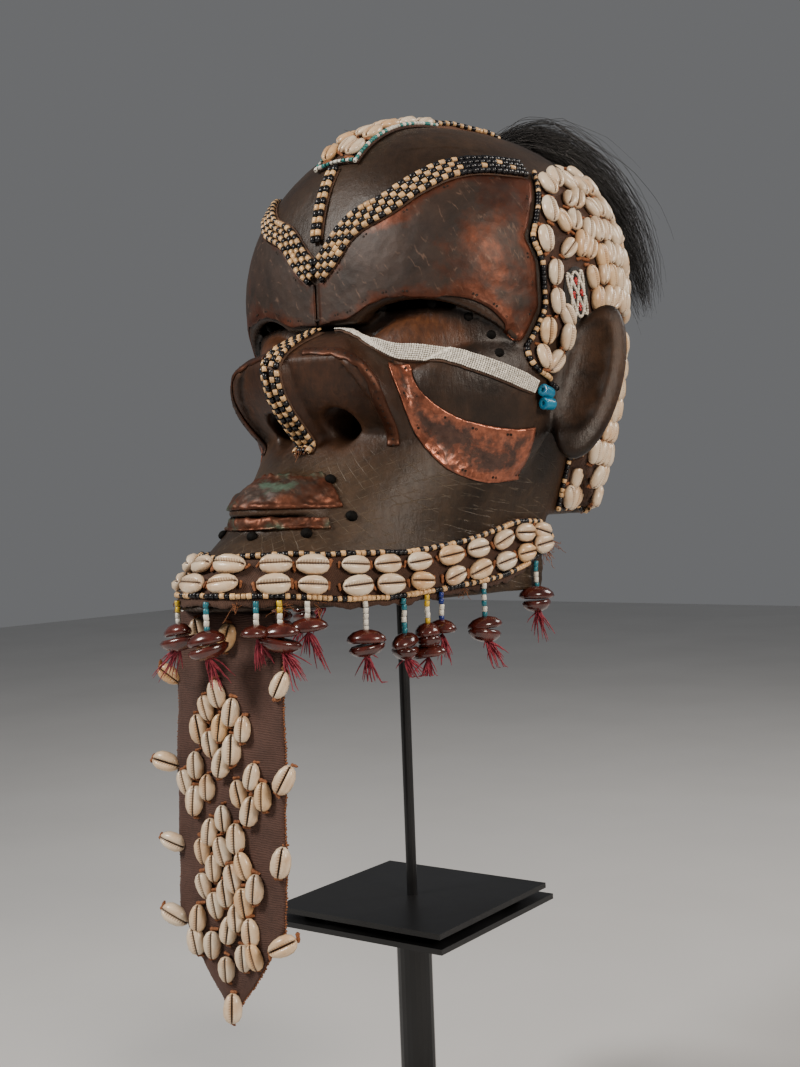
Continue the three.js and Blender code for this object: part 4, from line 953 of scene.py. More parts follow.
def bead_rows(line, offsets, dark, long, wide, proud, seed, widen=None):
    """Rows of beads beside a line: their places, directions, sizes and colours. dark() says which are black."""
    places, aims, outs, sizes, tints = [], [], [], [], []
    chance = np.random.default_rng(seed)
    for row, offset in enumerate(offsets):
        side = beside(line, offset) if widen is None else beside(line, offset * widen)
        count = int(length_of(side) / long)
        side = settle(even_line(side, count), 0.0, rounds=2)
        way, out, _ = sideways(side)
        share = np.linspace(0, 1, count)
        grown = np.ones(count) if widen is None else np.interp(share, np.linspace(0, 1, len(widen)), widen)
        places.append(side + out * (proud + chance.uniform(-0.15, 0.15, (count, 1))))
        aims.append(way)
        outs.append(out)
        sizes.append(np.c_[np.full(count, long * 0.96), wide * grown, wide * grown]
            * chance.uniform(0.92, 1.06, (count, 1)))
        black = np.array([dark(row, i, t, chance) for i, t in enumerate(share)])
        tints.append(np.where(black[:, None], JET, CREAM) * chance.uniform(0.8, 1.2, (count, 1)))
    return [np.concatenate(a) for a in (places, aims, outs, sizes, tints)]


def checked(row, i, t, chance):
    if t > 0.72:
        return chance.random() < (0.72 if row in (1, 2) else 0.9)
    return ((i + row) % 2 == 0) != (chance.random() < 0.03)


def lay_beads(name, node, parts, wobble=0.06, slot="beads", seed=3):
    joined = [np.concatenate(a) for a in zip(*parts)]
    made = place_pieces(name, bead, bead_glass.material, *joined, wobble=wobble, seed=seed)
    return dress(made, slot, *node)


def mirrored_parts(parts):
    return [mirror(parts[0]), mirror(parts[1]), mirror(parts[2]), parts[3], parts[4]]


v_beads = bead_rows(v_line, (-6.6, -2.2, 2.2, 6.6), checked, 4.4, 4.4, 3.0, 11)
v_beads = [part[v_beads[0][:, 0] > 1.0] for part in v_beads]
lay_beads("brow_beads", ("brow_bead_band_left", "brow_bead_band_right"), [v_beads, mirrored_parts(v_beads)])
strip_of_hide("brow_band_hide_left", v_line, 9.6)
strip_of_hide("brow_band_hide_right", mirror(v_line), 9.6)
centre_line = trail([(0.3, 256), (0.3, 276), (0.3, 294), (0.3, 309)])
centre_beads = bead_rows(centre_line, (-2.2, 2.2), lambda row, i, t, c: i % 2 == 0, 4.4, 4.4, 3.0, 12)
lay_beads("centre_beads", ("centre_bead_band",), [centre_beads])
strip_of_hide("centre_band_hide", centre_line, 5.0)
nose_line = trail([(0.2, 190), (0.2, 183), (0.2, 172), (0.2, 160), (0.2, 146), (0.2, 132), (0.2, 118), (0.2, 104)])
widen = np.interp(np.linspace(0, 1, len(nose_line)), [0, 0.3, 1], [0.5, 0.95, 1.08])
nose_beads = bead_rows(nose_line, (-6.0, -2.0, 2.0, 6.0), lambda row, i, t, c: (i + row) % 2 == 0, 4.0, 3.9, 2.9, 13,
    widen)
lay_beads("nose_beads", ("nose_bead_band",), [nose_beads])
strip_of_hide("nose_band_hide", nose_line, 8.2)

# White bead bands and blue cylinders under the eyes
# Rows of tiny white beads on hide from the bridge of the nose to the temple, and two large turquoise
# glass cylinders knotted on at the end.
EYE_PATH = [(5.5, 191.5), (10, 189.5), (16, 183), (22.6, 175), (28.2, 171.5), (35, 170), (44.7, 165), (54.4, 157),
    (67, 145)]
eye_line = trail(EYE_PATH)
eye_widen = np.interp(np.linspace(0, 1, len(eye_line)), [0, 0.2, 0.42, 0.93, 1], [0.62, 0.80, 1.0, 1.0, 0.85])
small_bead = turned_piece("small_bead", [(-0.5, 0.28), (-0.3, 0.5), (0.3, 0.5), (0.5, 0.28)], 6)
white_beads = bead_rows(eye_line, np.linspace(-4.5, 5.1, 8), lambda row, i, t, c: False, 1.62, 1.62, 2.0, 14,
    eye_widen)
white_beads[3] = white_beads[3] * [0.93, 0.96, 0.96]
white_beads[4] = np.array([0.90, 0.85, 0.75]) * np.random.default_rng(5).uniform(0.74, 1.1, (len(white_beads[0]), 1))
joined = [np.concatenate(a) for a in zip(white_beads, mirrored_parts(white_beads))]
dress(place_pieces("eye_beads", small_bead, bead_glass.material, *joined, wobble=0.15, seed=4), "white_beads",
    "eye_bead_band_left", "eye_bead_band_right")
for side_name, line in both_sides(eye_line):
    lanes = np.stack([beside(line, (lane * 6.2 - 0.4) * eye_widen) for lane in (-1.0, -0.8, 0.0, 0.8, 1.0)], 1)
    dress(cover("eye_band_hide_" + side_name, lanes, 0.05, 1.15, hide.material), "white_beads")
blue_cylinder = turned_piece("blue_cylinder",
    [(-0.42, 0.14), (-0.5, 0.18), (-0.5, 0.44), (-0.47, 0.49), (-0.4, 0.5), (0.4, 0.5), (0.47, 0.49),
    (0.5, 0.44), (0.5, 0.18), (0.42, 0.14)], 24)
blue_glass = speckled("blue_glass", 180.0, 4.0, (0.010, 0.13, 0.26), (0.022, 0.24, 0.38), (0.12, 0.24))
blue_places = np.r_[on_wood(69.4, np.array([142.5]), 5.2), on_wood(70.0, np.array([133.0]), 5.6)]
blue_aims = np.array([[0.30, 0.90, -0.30], [0.25, 0.95, -0.05]])
cylinders = place_pieces(
    "blue_cylinders", blue_cylinder, blue_glass.material, np.r_[blue_places, mirror(blue_places)],
    np.r_[blue_aims, mirror(blue_aims)],
    outward(np.r_[blue_places, mirror(blue_places)]), (10.0, 8.8, 8.8))
dress(cylinders, "blue_glass", "blue_bead_1_left", "blue_bead_2_left", "blue_bead_1_right", "blue_bead_2_right")

# Cowrie cap over the back of the head
# Dark brown woven cloth glued to the wood, with cowries sewn on close together, slit side out, and a
# string of cream and black beads round its edge. Each shell is tied at both ends with brown thread.
weave = shared_effect(
    "cloth_weave", [("Vector", "Vector", None), ("Threads", "Float", 900.0), ("Age", "Float", 0.5)],
    [("Shade", "Float"), ("Height", "Float")],
)
laid_at, per_metre = weave.takes["Vector"], weave.takes["Threads"]
warp = weave.node("ShaderNodeSeparateXYZ", {0: laid_at})
weft = warp.node.outputs[1]
wander = weave.noise(60.0, laid_at, 3.0)
along_one = weave.math("SINE", weave.times(weave.plus(warp, weave.times(wander, 0.004)),
    weave.times(per_metre, 3.14159)))
along_two = weave.math("SINE", weave.times(weave.plus(weft, weave.times(wander, 0.003)),
    weave.times(per_metre, 4.4)))
crossing = weave.plus(weave.times(weave.times(along_one, along_two), 0.4), weave.times(along_one, 0.5))
height = weave.plus(weave.times(crossing, 0.5), weave.noise(320.0, laid_at, 4.0))
weave.feed(weave.gives["Height"], height)
weave.feed(weave.gives["Shade"], weave.plus(weave.times(height, 0.35),
    weave.times(weave.noise(22.0, laid_at, 6.0, 0.65), weave.takes["Age"])))


def woven(name, dark, light, threads, age=0.8):
    finish = Finish(name)
    laid_flat = finish.node("ShaderNodeTexCoord", out="UV")
    cloth = finish.use(weave, Vector=laid_flat, Threads=threads, Age=age)
    finish.surface(Base_Color=finish.ramp(cloth["Shade"], (0.25, dark), (0.75, light)),
        Roughness=finish.ramp(cloth["Shade"], (0.3, (0.95,)), (0.7, (0.8,))),
        Normal=finish.bump(cloth["Height"], 0.0007, 0.7))
    finish.shader.inputs["Sheen Weight"].default_value = 0.04
    finish.shader.inputs["Sheen Roughness"].default_value = 0.5
    return finish


brown_cloth = woven("brown_cloth", (0.015, 0.0065, 0.0038), (0.080, 0.034, 0.018), 1500.0)
share, up = np.meshgrid(np.linspace(0, 1, 120), np.linspace(0, 1, 44), indexing="ij")
half_way = np.minimum(share, 1 - share)
bottom = 150 + 47 * ease(half_way / 0.07)
top = np.interp(half_way, [0, 0.15, 0.5], [296, 312, 338])
rise = bottom + (top - bottom) * up
front = np.interp(rise, CAP_FRONT[:, 0], CAP_FRONT[:, 1])
cap_grid = on_wood(front + (360 - 2 * front) * share, rise).reshape(120, 44, 3)
cap_cloth = dress(cover("cap_sheet", cap_grid, 0.4, 2.0 + 0.3 * rough(cap_grid, 9, 9), brown_cloth.material), "cloth",
    "cap_cloth")

shell_x = np.array([-0.96, -0.82, -0.5, -0.05, 0.42, 0.78, 0.96])
shell_ring = np.array([(0, 0.0), (-0.62, 0.03), (-0.98, 0.38), (-0.88, 0.74), (-0.50, 0.99), (-0.18, 0.93),
    (-0.05, 0.62),
    (0.05, 0.62), (0.18, 0.93), (0.50, 0.99), (0.88, 0.74), (0.98, 0.38), (0.62, 0.03)])
shell_points, shell_faces = [], []
for x in shell_x:
    swell = (1 - abs(x) ** 2.4) ** 0.5 * (1 - 0.10 * x)
    rise_of = (1 - abs(x) ** 3.0) ** 0.5
    shell_points += [(x / 2, y * swell / 2, 0.45 + (z - 0.45) * rise_of) for y, z in shell_ring]
ring = len(shell_ring)
for i in range(len(shell_x) - 1):
    for j in range(ring):
        a, b = i * ring + j, i * ring + (j + 1) % ring
        shell_faces.append((a, a + ring, b + ring, b))
shell_faces += [tuple(range(ring)), tuple(reversed(range((len(shell_x) - 1) * ring, len(shell_x) * ring)))]
cowrie = template("cowrie", shell_points, shell_faces)
middle = Vector((0, 0, 0.45))
flat_face = cowrie.data.polygons[len(cowrie.data.polygons) // 2]
if (flat_face.center - middle).dot(flat_face.normal) < 0:
    cowrie.data.flip_normals()
paint(cowrie, "place", np.array(shell_points))

shell = Finish("cowrie_shell")
spot = shell.node("ShaderNodeSeparateXYZ", {0: shell.painted("place", "Vector")})
lengthways, sideways_of, upness = (spot.node.outputs[k] for k in range(3))
from_slit = shell.math("ABSOLUTE", sideways_of)
# slit: the dark slit down the shell is painted shade inside its opening, which the mesh only dips towards.
slit = shell.times(shell.ramp(from_slit, (0.03, (1.0,)), (0.065, (0.0,))),
    shell.ramp(upness, (0.5, (0.0,)), (0.56, (1.0,))))
teeth = shell.math("GREATER_THAN", shell.math("SINE", shell.times(lengthways, 75.0)), 0.1)
teeth = shell.times(shell.times(teeth, shell.ramp(from_slit, (0.09, (1.0,)), (0.15, (0.0,)))),
    shell.ramp(upness, (0.6, (0.0,)), (0.7, (1.0,))))
ivory = shell.ramp(shell.noise(70.0, shell.place(), 5.0, 0.6), (0.3, (0.62, 0.43, 0.27)), (0.5, (0.74, 0.60, 0.44)),
    (0.75, (0.80, 0.71, 0.57)))
ivory = shell.mix(1.0, ivory, shell.painted("tint", "Color"), "MULTIPLY")
# Painted shade: the shell is darker brown towards its base, where it curves down to the cloth.
ivory = shell.mix(shell.ramp(upness, (0.02, (0.8,)), (0.34, (0.0,))), ivory, (0.17, 0.085, 0.04))
ivory = shell.mix(shell.times(teeth, 0.55), ivory, (0.22, 0.10, 0.045))
# Painted shade in the slit.
ivory = shell.mix(slit, ivory, (0.045, 0.017, 0.007))
shell.surface(Base_Color=ivory, Roughness=shell.ramp(shell.noise(220.0, shell.place()), (0.3, (0.22,)),
    (0.7, (0.42,))),
    Normal=shell.bump(shell.noise(500.0, shell.place(), 3.0), 0.0003, 0.3))
shell.shader.inputs["Coat Weight"].default_value = 0.25
shell.shader.inputs["Coat Roughness"].default_value = 0.15
tie = turned_piece("tie", [(-0.5, 0.22), (-0.22, 0.42), (0.1, 0.36), (0.34, 0.5), (0.5, 0.2)], 6)
brown_thread = speckled("brown_thread", 900.0, 4.0, (0.13, 0.042, 0.014), (0.36, 0.135, 0.050), (0.9, 0.75),
    (0.0006, 0.6))


def sew_cowries(name, points, aim, out, sizes, seed, slot="cloth"):
    """Shells at points on a cloth, with a knot of thread at each end."""
    chance = np.random.default_rng(seed)
    count = len(points)
    aim = unit(aim - out * (aim * out).sum(1, keepdims=True))
    sizes = np.broadcast_to(sizes, (count, 3)) * chance.uniform(0.92, 1.08, (count, 1))
    warm = chance.random((count, 1)) ** 3
    tints = (1 - warm) * np.array([1.0, 0.98, 0.95]) + warm * np.array([0.95, 0.74, 0.50])
    flip = np.where(chance.random((count, 1)) < 0.5, 1, -1)
    dress(place_pieces(name, cowrie, shell.material, points, aim * flip, out, sizes, tints, 0.12, seed), slot)
    ends = np.r_[points + aim * sizes[:, :1] * 0.53, points - aim * sizes[:, :1] * 0.53]
    doubled = np.r_[out, out]
    dress(place_pieces(name + "_ties", tie, brown_thread.material, ends + doubled * 1.4,
        np.cross(doubled, np.r_[aim, aim]), doubled,
        chance.uniform(0.8, 1.3, (2 * count, 1)) * np.array([5.6, 2.7, 2.7]), wobble=0.5, seed=seed), slot)


def turned_on(points, degrees, base=(0.0, 0.0, 1.0)):
    """Directions along the surface, turned from straight up."""
    out = outward(points)
    up_way = unit(np.asarray(base) - out * (out @ np.asarray(base, float))[:, None])
    a = np.radians(np.reshape(degrees, (-1, 1)))
    return up_way * np.cos(a) + np.cross(out, up_way) * np.sin(a), out


def string_beads(name, line, slot, seed, long=3.4, wide=4.0, colours=(CREAM, JET), proud=2.2, out=None, run=0.25):
    """One string of beads along a line; run is the share of beads that break the turn of colours."""
    count = max(int(length_of(line) / long), 2)
    line = even_line(line, count)
    way, out, _ = sideways(line, out)
    chance = np.random.default_rng(seed)
    which = (np.arange(count) + (chance.random(count) < run)) % 2
    tints = np.asarray(colours)[which] * chance.uniform(0.8, 1.15, (count, 1))
    sizes = np.array([long * 0.95, wide, wide]) * chance.uniform(0.88, 1.08, (count, 1))
    made = place_pieces(name, bead, bead_glass.material, line + out * proud, way, out, sizes, tints, 0.12, seed)
    return dress(made, slot)


KNOT = (84.7, 212.0)
knot_middle = on_wood(KNOT[0], np.array([KNOT[1]]))[0]
chance = np.random.default_rng(31)
edge_rises = np.arange(164, 300, 20.5)
edge_arounds = np.interp(edge_rises, CAP_FRONT[:, 0], CAP_FRONT[:, 1])
first = on_wood(edge_arounds + 3.9, edge_rises)
spots, turns = [first], [chance.uniform(-9, 9, len(first))]
for row, level_rise in enumerate(np.arange(163, 345, 16.2)):
    start = np.interp(level_rise, CAP_FRONT[:, 0], CAP_FRONT[:, 1])
    radius = np.hypot(*(on_wood(start, np.array([level_rise]))[0] - [0, MIDDLE, 0])[:2])
    pitch = math.degrees(14.6 / max(radius, 30))
    arounds = np.arange(start + 3.9 + pitch * (1.05 + 0.5 * (row % 2)), 180.1, pitch)
    arounds = arounds + chance.uniform(-0.8, 0.8, len(arounds))
    if level_rise > 296:
        arounds = arounds[arounds > 104 + (level_rise - 296) * 1.2]
    if len(arounds):
        spots.append(on_wood(arounds, level_rise + chance.uniform(-3.4, 3.4, len(arounds))))
        turns.append(chance.uniform(-48, 48, len(arounds)))
spots, turns = np.concatenate(spots), np.concatenate(turns)
x, y, z = spots.T
low_limit = np.where(np.degrees(np.arctan2(x, MIDDLE - y)) > 92, 646.0, 601.0)
keep = (ear_form(*(spots + outward(spots) * 5).T) > 3.0) & (np.linalg.norm((spots - knot_middle) * [1, 1, 0.72],
    axis=1) > 17.2) & (z > low_limit)
keep &= ~((y > 110) & (z > 766) & (x < 60))
spots, turns = spots[keep], turns[keep]
spots, turns = np.r_[spots, mirror(spots[spots[:, 0] > 4])], np.r_[turns, -turns[spots[:, 0] > 4]]
aim, out = turned_on(spots, turns)
sew_cowries("cap_cowries", spots + out * 1.6, aim, out, (19.5, 13.6, 8.0), 32)
edge = [(float(np.interp(r, CAP_FRONT[:, 0], CAP_FRONT[:, 1])) + 0.3, r) for r in np.linspace(299, 146, 30)]
edge += [(79.5, 143), (84, 152), (88, 168), (92, 192), (97, 199), (110, 199), (140, 198), (180, 198)]
cap_edge = trail(edge, pitch=3.0)
string_beads("cap_edge_left", cap_edge, "beads", 33)
string_beads("cap_edge_right", mirror(cap_edge), "beads", 34)

# The knot on the cap
# An endless loop of tiny white beads that crosses itself again and again, with red beads inside it, on a
# patch of black cloth.
black_cloth = woven("black_cloth", (0.004, 0.004, 0.004), (0.022, 0.020, 0.019), 900.0)


def on_patch(u, v):
    """Places on the wood round the knot's middle, in mm across and up."""
    up_way, out = turned_on(knot_middle[None], 0.0)
    right = np.cross(up_way, out)
    return settle(knot_middle + np.reshape(u, (-1, 1)) * right + np.reshape(v, (-1, 1)) * up_way, 0.0)


ring_r, ring_a = np.meshgrid(np.linspace(0.04, 1, 8), np.linspace(0, 2 * math.pi, 41), indexing="ij")
patch_grid = on_patch((ring_r * np.cos(ring_a) * 15).ravel(), (ring_r * np.sin(ring_a) * 20.5).ravel()).reshape(8, 41,
    3)
t = np.linspace(0, 2 * math.pi, 400)
loop_u, loop_v = 9.4 * np.sin(2 * t), 16.5 * np.sin(3 * t)
lean = math.radians(14)
for side_name, flip in (("left", 1), ("right", -1)):
    dress(cover("knot_patch_" + side_name, patch_grid * [flip, 1, 1], 1.9, 3.0, black_cloth.material), "cloth")
    line = on_patch(loop_u * math.cos(lean) - loop_v * math.sin(lean), loop_u * math.sin(lean) + loop_v
        * math.cos(lean)) * [flip, 1, 1]
    string_beads(f"knot_white_{side_name}_out", line, "white_beads", 35, 1.9, 2.2,
        ((0.80, 0.74, 0.64), (0.72, 0.66, 0.56)), 3.8)
    reds = []
    for lobe in range(4):
        a = math.pi / 2 * lobe
        for shift in ((0, 0), (1.7, 0.6), (-1.5, 0.9), (0.3, -1.7), (0.6, 2.1)):
            u, v = math.cos(a) * 5.0 + shift[0] * 0.7, math.sin(a) * 9.6 + shift[1]
            reds.append((u * math.cos(lean) - v * math.sin(lean), u * math.sin(lean) + v * math.cos(lean)))
    reds = on_patch(*np.array(reds).T) * [flip, 1, 1]
    dress(place_pieces("knot_red_" + side_name, small_bead, bead_glass.material, reds + outward(reds) * 3.7,
        (0, 0.3, 1), outward(reds),
        (1.9, 1.9, 1.9), (0.42, 0.015, 0.015), 0.4, 36), "white_beads")

# Cowrie cloth below the ears
# The same cloth and shells on the neck, from ear to ear, with its own string of beads.
around_s, up_s = np.meshgrid(np.linspace(0, 1, 100), np.linspace(58, 193, 40), indexing="ij")
NECK_FRONT = np.array([(58, 96), (100, 97), (130, 108), (194, 108)], float)
neck_front = np.interp(up_s, *NECK_FRONT.T)
neck_grid = on_wood(neck_front + (360 - 2 * neck_front) * around_s, up_s).reshape(100, 40, 3)
neck_sheet = dress(cover("neck_sheet", neck_grid, 0.4, 2.0 + 0.3 * rough(neck_grid, 9, 10), brown_cloth.material),
    "cloth", "neck_cloth")
spots, turns = [], []
for row, level_rise in enumerate(np.arange(68, 190, 16.5)):
    start = float(np.interp(level_rise, *NECK_FRONT.T)) + 4.5 + 3 * (row % 2)
    arounds = np.arange(start, 360 - start + 0.1, 6.9)
    spots.append(on_wood(arounds + chance.uniform(-0.7, 0.7, len(arounds)), level_rise
        + chance.uniform(-1.5, 1.5, len(arounds))))
    turns.append(chance.uniform(-40, 40, len(arounds)))
spots, turns = np.concatenate(spots), np.concatenate(turns)
keep = ear_form(np.abs(spots[:, 0]), spots[:, 1], spots[:, 2]) > 4
aim, out = turned_on(spots[keep], turns[keep])
sew_cowries("neck_cowries", spots[keep] + out * 1.6, aim, out, (19.0, 13.4, 8.0), 37)
for side_name, flip in (("left", 1), ("right", -1)):
    line = trail([(108, 128), (100, 108), (96.8, 100), (96.6, 80), (96.4, 59)], pitch=3.0) * [flip, 1, 1]
    string_beads("neck_edge_" + side_name, line, "beads", 38)
string_beads("neck_edge_below", trail([(96.4, 59), (130, 59), (180, 59), (230, 59), (263.6, 59)], pitch=3.0), "beads",
    39)

# Crest over the crown
# A strip of cowries with a teal and white string along both edges, then a rolled edge of orange-brown
# cloth with a cream and black string, which runs back to the hair.


def on_crown(x, y):
    """Places on the wood under points of the ground plan."""
    x, y = np.broadcast_arrays(np.asarray(x, float), np.asarray(y, float))
    height = np.full(x.size, 812.0)
    for _ in range(14):
        height = height - np.clip(bare_head(x.ravel(), y.ravel(), height) * 0.8, -2, 20)
    return settle(np.stack([x.ravel(), y.ravel(), height], 1), 0.0)


cx, cy = np.meshgrid(np.linspace(-20, 20, 13), np.linspace(-54, 40, 34), indexing="ij")
crest_grid = on_crown(cx, cy).reshape(13, 34, 3)
crest_sheet = dress(cover("crest_sheet", crest_grid, 0.4, 2.2 + 0.3 * rough(crest_grid, 8, 11), brown_cloth.material),
    "cloth", "crest_cloth")
px, py = np.meshgrid([-12.5, 0, 12.5], np.linspace(-44, 33, 5), indexing="ij")
spots = on_crown(px.ravel() + chance.uniform(-1, 1, 15), py.ravel() + np.repeat([0, 5, 0], 5)
    + chance.uniform(-1.5, 1.5, 15))
aim, out = turned_on(spots, chance.uniform(-22, 22, 15), (0, 1, 0.2))
sew_cowries("crest_cowries", spots + out * 1.8, aim, out, (19.5, 13.2, 7.2), 41)
TEAL, MILK = np.array([0.03, 0.22, 0.21]), np.array([0.74, 0.72, 0.64])
for side_name, flip in (("left", 1), ("right", -1)):
    line = on_crown(np.full(60, 19.0 * flip), np.linspace(-54, 40, 60))
    string_beads("crest_edge_" + side_name, line, "white_beads", 42, 3.2, 3.0, (MILK, TEAL), 3.4, run=0.3)
string_beads("crest_edge_front", on_crown(np.linspace(-19, 19, 30), np.full(30, -53.5)), "white_beads", 43, 3.2, 3.0,
    (MILK, TEAL), 3.4)
rust_cloth = woven("rust_cloth", (0.035, 0.014, 0.007), (0.15, 0.062, 0.028), 1200.0)
ry = np.linspace(41, 120, 70)
roll_rows = []
for k in range(15):
    a = math.pi * k / 14
    wide = 11.5 + 1.5 * np.sin(ry / 9.0) * math.sin(a * 2)
    spine = on_crown(-math.cos(a) * wide + np.clip((ry - 45) / 60, 0, 1) * 19, ry)
    fold = 1.0 + 0.10 * np.sin(ry / 5.0 + 3 * a) + 0.12 * rough(spine, 7, 12)
    roll_rows.append(spine + outward(spine) * (math.sin(a) ** 0.7 * 7.4 * fold)[:, None])
roll_grid = np.stack(roll_rows)
crest_roll = dress(cover("crest_roll", roll_grid, -1.2, 0.0, rust_cloth.material,
    out=outward(roll_grid.reshape(-1, 3))), "cloth", "crest_rolled_edge")
line = even_line(roll_grid[10], 60)
string_beads("crest_roll_beads", line, "beads", 44, proud=1.6, out=np.array([0.35, 0, 0.94]), run=0.1)

# Collar round the jaw
# A band of brown cloth with two rows of large cowries lying along it, a string of beads over and under
# them, and a ragged hem that hangs below the jaw.
COLLAR_END = 91
COLLAR_TOP = np.array([(0, 32), (11, 33.5), (22, 33), (28, 33), (36, 35.5), (46, 40), (57, 46.5), (70, 52),
    (80, 51.4), (88, 44), (91, 39)])
COLLAR_LOW = np.array([(0, 8), (11.6, 7.4), (20.8, 3.9), (26.3, 3.6), (33.2, 5), (42.6, 7.6), (55.7, 11),
    (68.4, 16.5), (84.9, 28.1), (91, 36)])


def on_collar(around, rise, proud=0.0):
    """Below the rim the cloth hangs straight down."""
    around, rise = np.broadcast_arrays(np.asarray(around, float), np.asarray(rise, float))
    places = on_wood(around, np.maximum(rise, 0.5), proud)
    places[:, 2] += np.minimum(np.ravel(rise) - 0.5, 0)
    return places


def collar_line(line, count=None, shift=0.0):
    around = np.linspace(-COLLAR_END, COLLAR_END, 400)
    rise = smooth_line(line, np.abs(around), 1) + shift
    places = on_collar(around, rise)
    return places if count is None else even_line(places, count)


collar_around = np.degrees(np.arctan2(*(collar_line(COLLAR_TOP, 240) - [0, MIDDLE, 0])[:, :2].T
    * np.array([[1], [-1]])))
hem = 4.5 + 2.8 * rough(np.c_[collar_around, collar_around * 0, collar_around * 0], 3.1, 13) + 1.6 * rough(
    np.c_[collar_around, collar_around * 0, collar_around * 0], 0.8, 14)
hem = hem * np.interp(np.abs(collar_around), [0, 70, COLLAR_END], [1.15, 1.0, 0.2])
collar_up = np.linspace(0, 1, 14)[None, :]
low_rise = (smooth_line(COLLAR_LOW, np.abs(collar_around), 1) - hem)[:, None]
top_rise = (smooth_line(COLLAR_TOP, np.abs(collar_around), 1) + 1.0)[:, None]
collar_grid = on_collar(collar_around[:, None] + 0 * collar_up, low_rise + (top_rise - low_rise)
    * collar_up).reshape(240, 14, 3)
collar_out = unit(outward(collar_grid.reshape(-1, 3)) * [1, 1, 0.4])
collar_sheet = dress(cover("collar_sheet", collar_grid, 0.5, 2.0 + 0.3 * rough(collar_grid, 8, 15),
    brown_cloth.material, out=collar_out), "cloth", "collar_cloth")
TOP_ROW = np.array([-2.5, 3, 9.5, 14.4, 20.3, 25.5, 31.6, 39.5, 48, 59.2, 70.8, 82.5])
spots, aims = [], []
for share_up, shift in ((0.27, 0.6), (0.73, 0.0)):
    arounds = TOP_ROW + shift
    arounds = np.r_[-arounds[:1:-1], arounds]
    low_at, top_at = smooth_line(COLLAR_LOW, np.abs(arounds), 1), smooth_line(COLLAR_TOP, np.abs(arounds), 1)
    rise = low_at + (top_at - low_at) * share_up
    here = on_collar(arounds, rise)
    ahead = np.abs(arounds + 1)
    there = on_collar(arounds + 1, smooth_line(COLLAR_LOW, ahead, 1) * (1 - share_up)
        + smooth_line(COLLAR_TOP, ahead, 1) * share_up)
    spots.append(here)
    aims.append(there - here)
spots, aims = np.concatenate(spots), np.concatenate(aims)
out = outward(spots)
aims = aims + np.random.default_rng(45).uniform(-0.3, 0.3, (len(aims), 3))
sew_cowries("collar_cowries", spots + out * 1.8, aims, out, (22.0, 14.4, 8.2), 46)
top_string = collar_line(COLLAR_TOP, shift=-0.6)
low_string = collar_line(COLLAR_LOW, shift=0.4)
string_beads("collar_top_beads", top_string, "beads", 47, proud=3.6)
string_beads("collar_low_beads", low_string, "beads", 48, proud=3.6, run=0.35)

# Beard strap
# A pointed strap of the same brown cloth that hangs from inside the chin. Cowries are sewn on in lozenges
# and stick out at its edges, which are overcast with orange thread.
beard_cloth = woven("beard_cloth", (0.018, 0.0075, 0.005), (0.085, 0.036, 0.024), 1300.0, 0.9)
BEARD_TOP = 440.5
BEARD_LENGTH = 266
drops = np.r_[-20.0, -10, -1, np.linspace(1, BEARD_LENGTH, 92)]
wide = np.interp(drops, [-20, -2, 0, 3, 120, 204, 240, 258, BEARD_LENGTH], [20, 22, 47, 51, 51.5, 50.5, 25, 9, 3.5])
wide = wide + np.where(drops > 2, 0.9 * rough(np.c_[drops, drops * 0, drops * 0], 17, 16) + 0.5
    * rough(np.c_[drops, drops * 0, drops * 0], 4, 17), 0)
strap_u = np.linspace(-1, 1, 37)
depth = np.where(drops < 0, np.interp(drops, [-20, -2], [-157, -175]), -180 - 0.035 * drops)
strap_grid = np.stack(np.broadcast_arrays(wide[:, None] * strap_u[None], depth[:, None], BEARD_TOP - drops[:, None]),
    -1).copy()
wave = 1.6 * rough(strap_grid, 42, 18) + 0.7 * rough(strap_grid, 13, 19) + 0.8 * np.abs(strap_u[None]) ** 4
strap_grid[..., 1] += wave * np.clip(drops / 25, 0, 1)[:, None]
ribs = 0.16 * np.sin(drops * 2.1)[:, None] * np.clip(drops, 0, 1)[:, None]
beard_sheet = dress(cover("beard_sheet", strap_grid, 0.0, 2.0 + ribs + 0.2 * rough(strap_grid, 6, 20),
    beard_cloth.material, out=np.array([0, -1.0, 0])), "cloth", "beard_strap")
BEARD_SHELLS = [(1, 17), (-27, 14), (-7, 54), (-17, 64), (5, 66), (-27, 79), (-5, 77), (16, 77), (-16, 89), (5, 91),
    (-5, 101), (-31, 104),
    (-41, 117), (-19, 118), (-31, 129), (25, 107), (11, 119), (35, 119), (21, 130), (-4, 137), (-15, 147), (9, 149),
    (-23, 161),
    (-4, 159), (16, 166), (-13, 172), (5, 176), (-22, 184), (26, 180), (-3, 187), (15, 190), (-12, 196), (7, 202),
    (0, 211),
    (-29, 207), (-32, 223), (-16, 223), (21, 209), (14, 227), (25, 224), (-3, 237)]
EDGE_SHELLS = [(-59, 44, -50), (-62, 105, -80), (-56, 159, -75), (-54, 209, -65), (50, 46, 20), (52, 107, 35),
    (48, 160, 15), (49, 214, 60)]


def on_strap(x, drop, proud=2.1):
    i = np.interp(drop, drops, np.arange(len(drops)))
    j = np.clip((np.asarray(x) / np.interp(drop, drops, wide) + 1) / 2 * (len(strap_u) - 1), 0, len(strap_u) - 1)
    back = strap_grid[np.round(i).astype(int), np.round(j).astype(int), 1]
    return np.stack([np.asarray(x, float), back - proud, BEARD_TOP - np.asarray(drop, float)], 1)


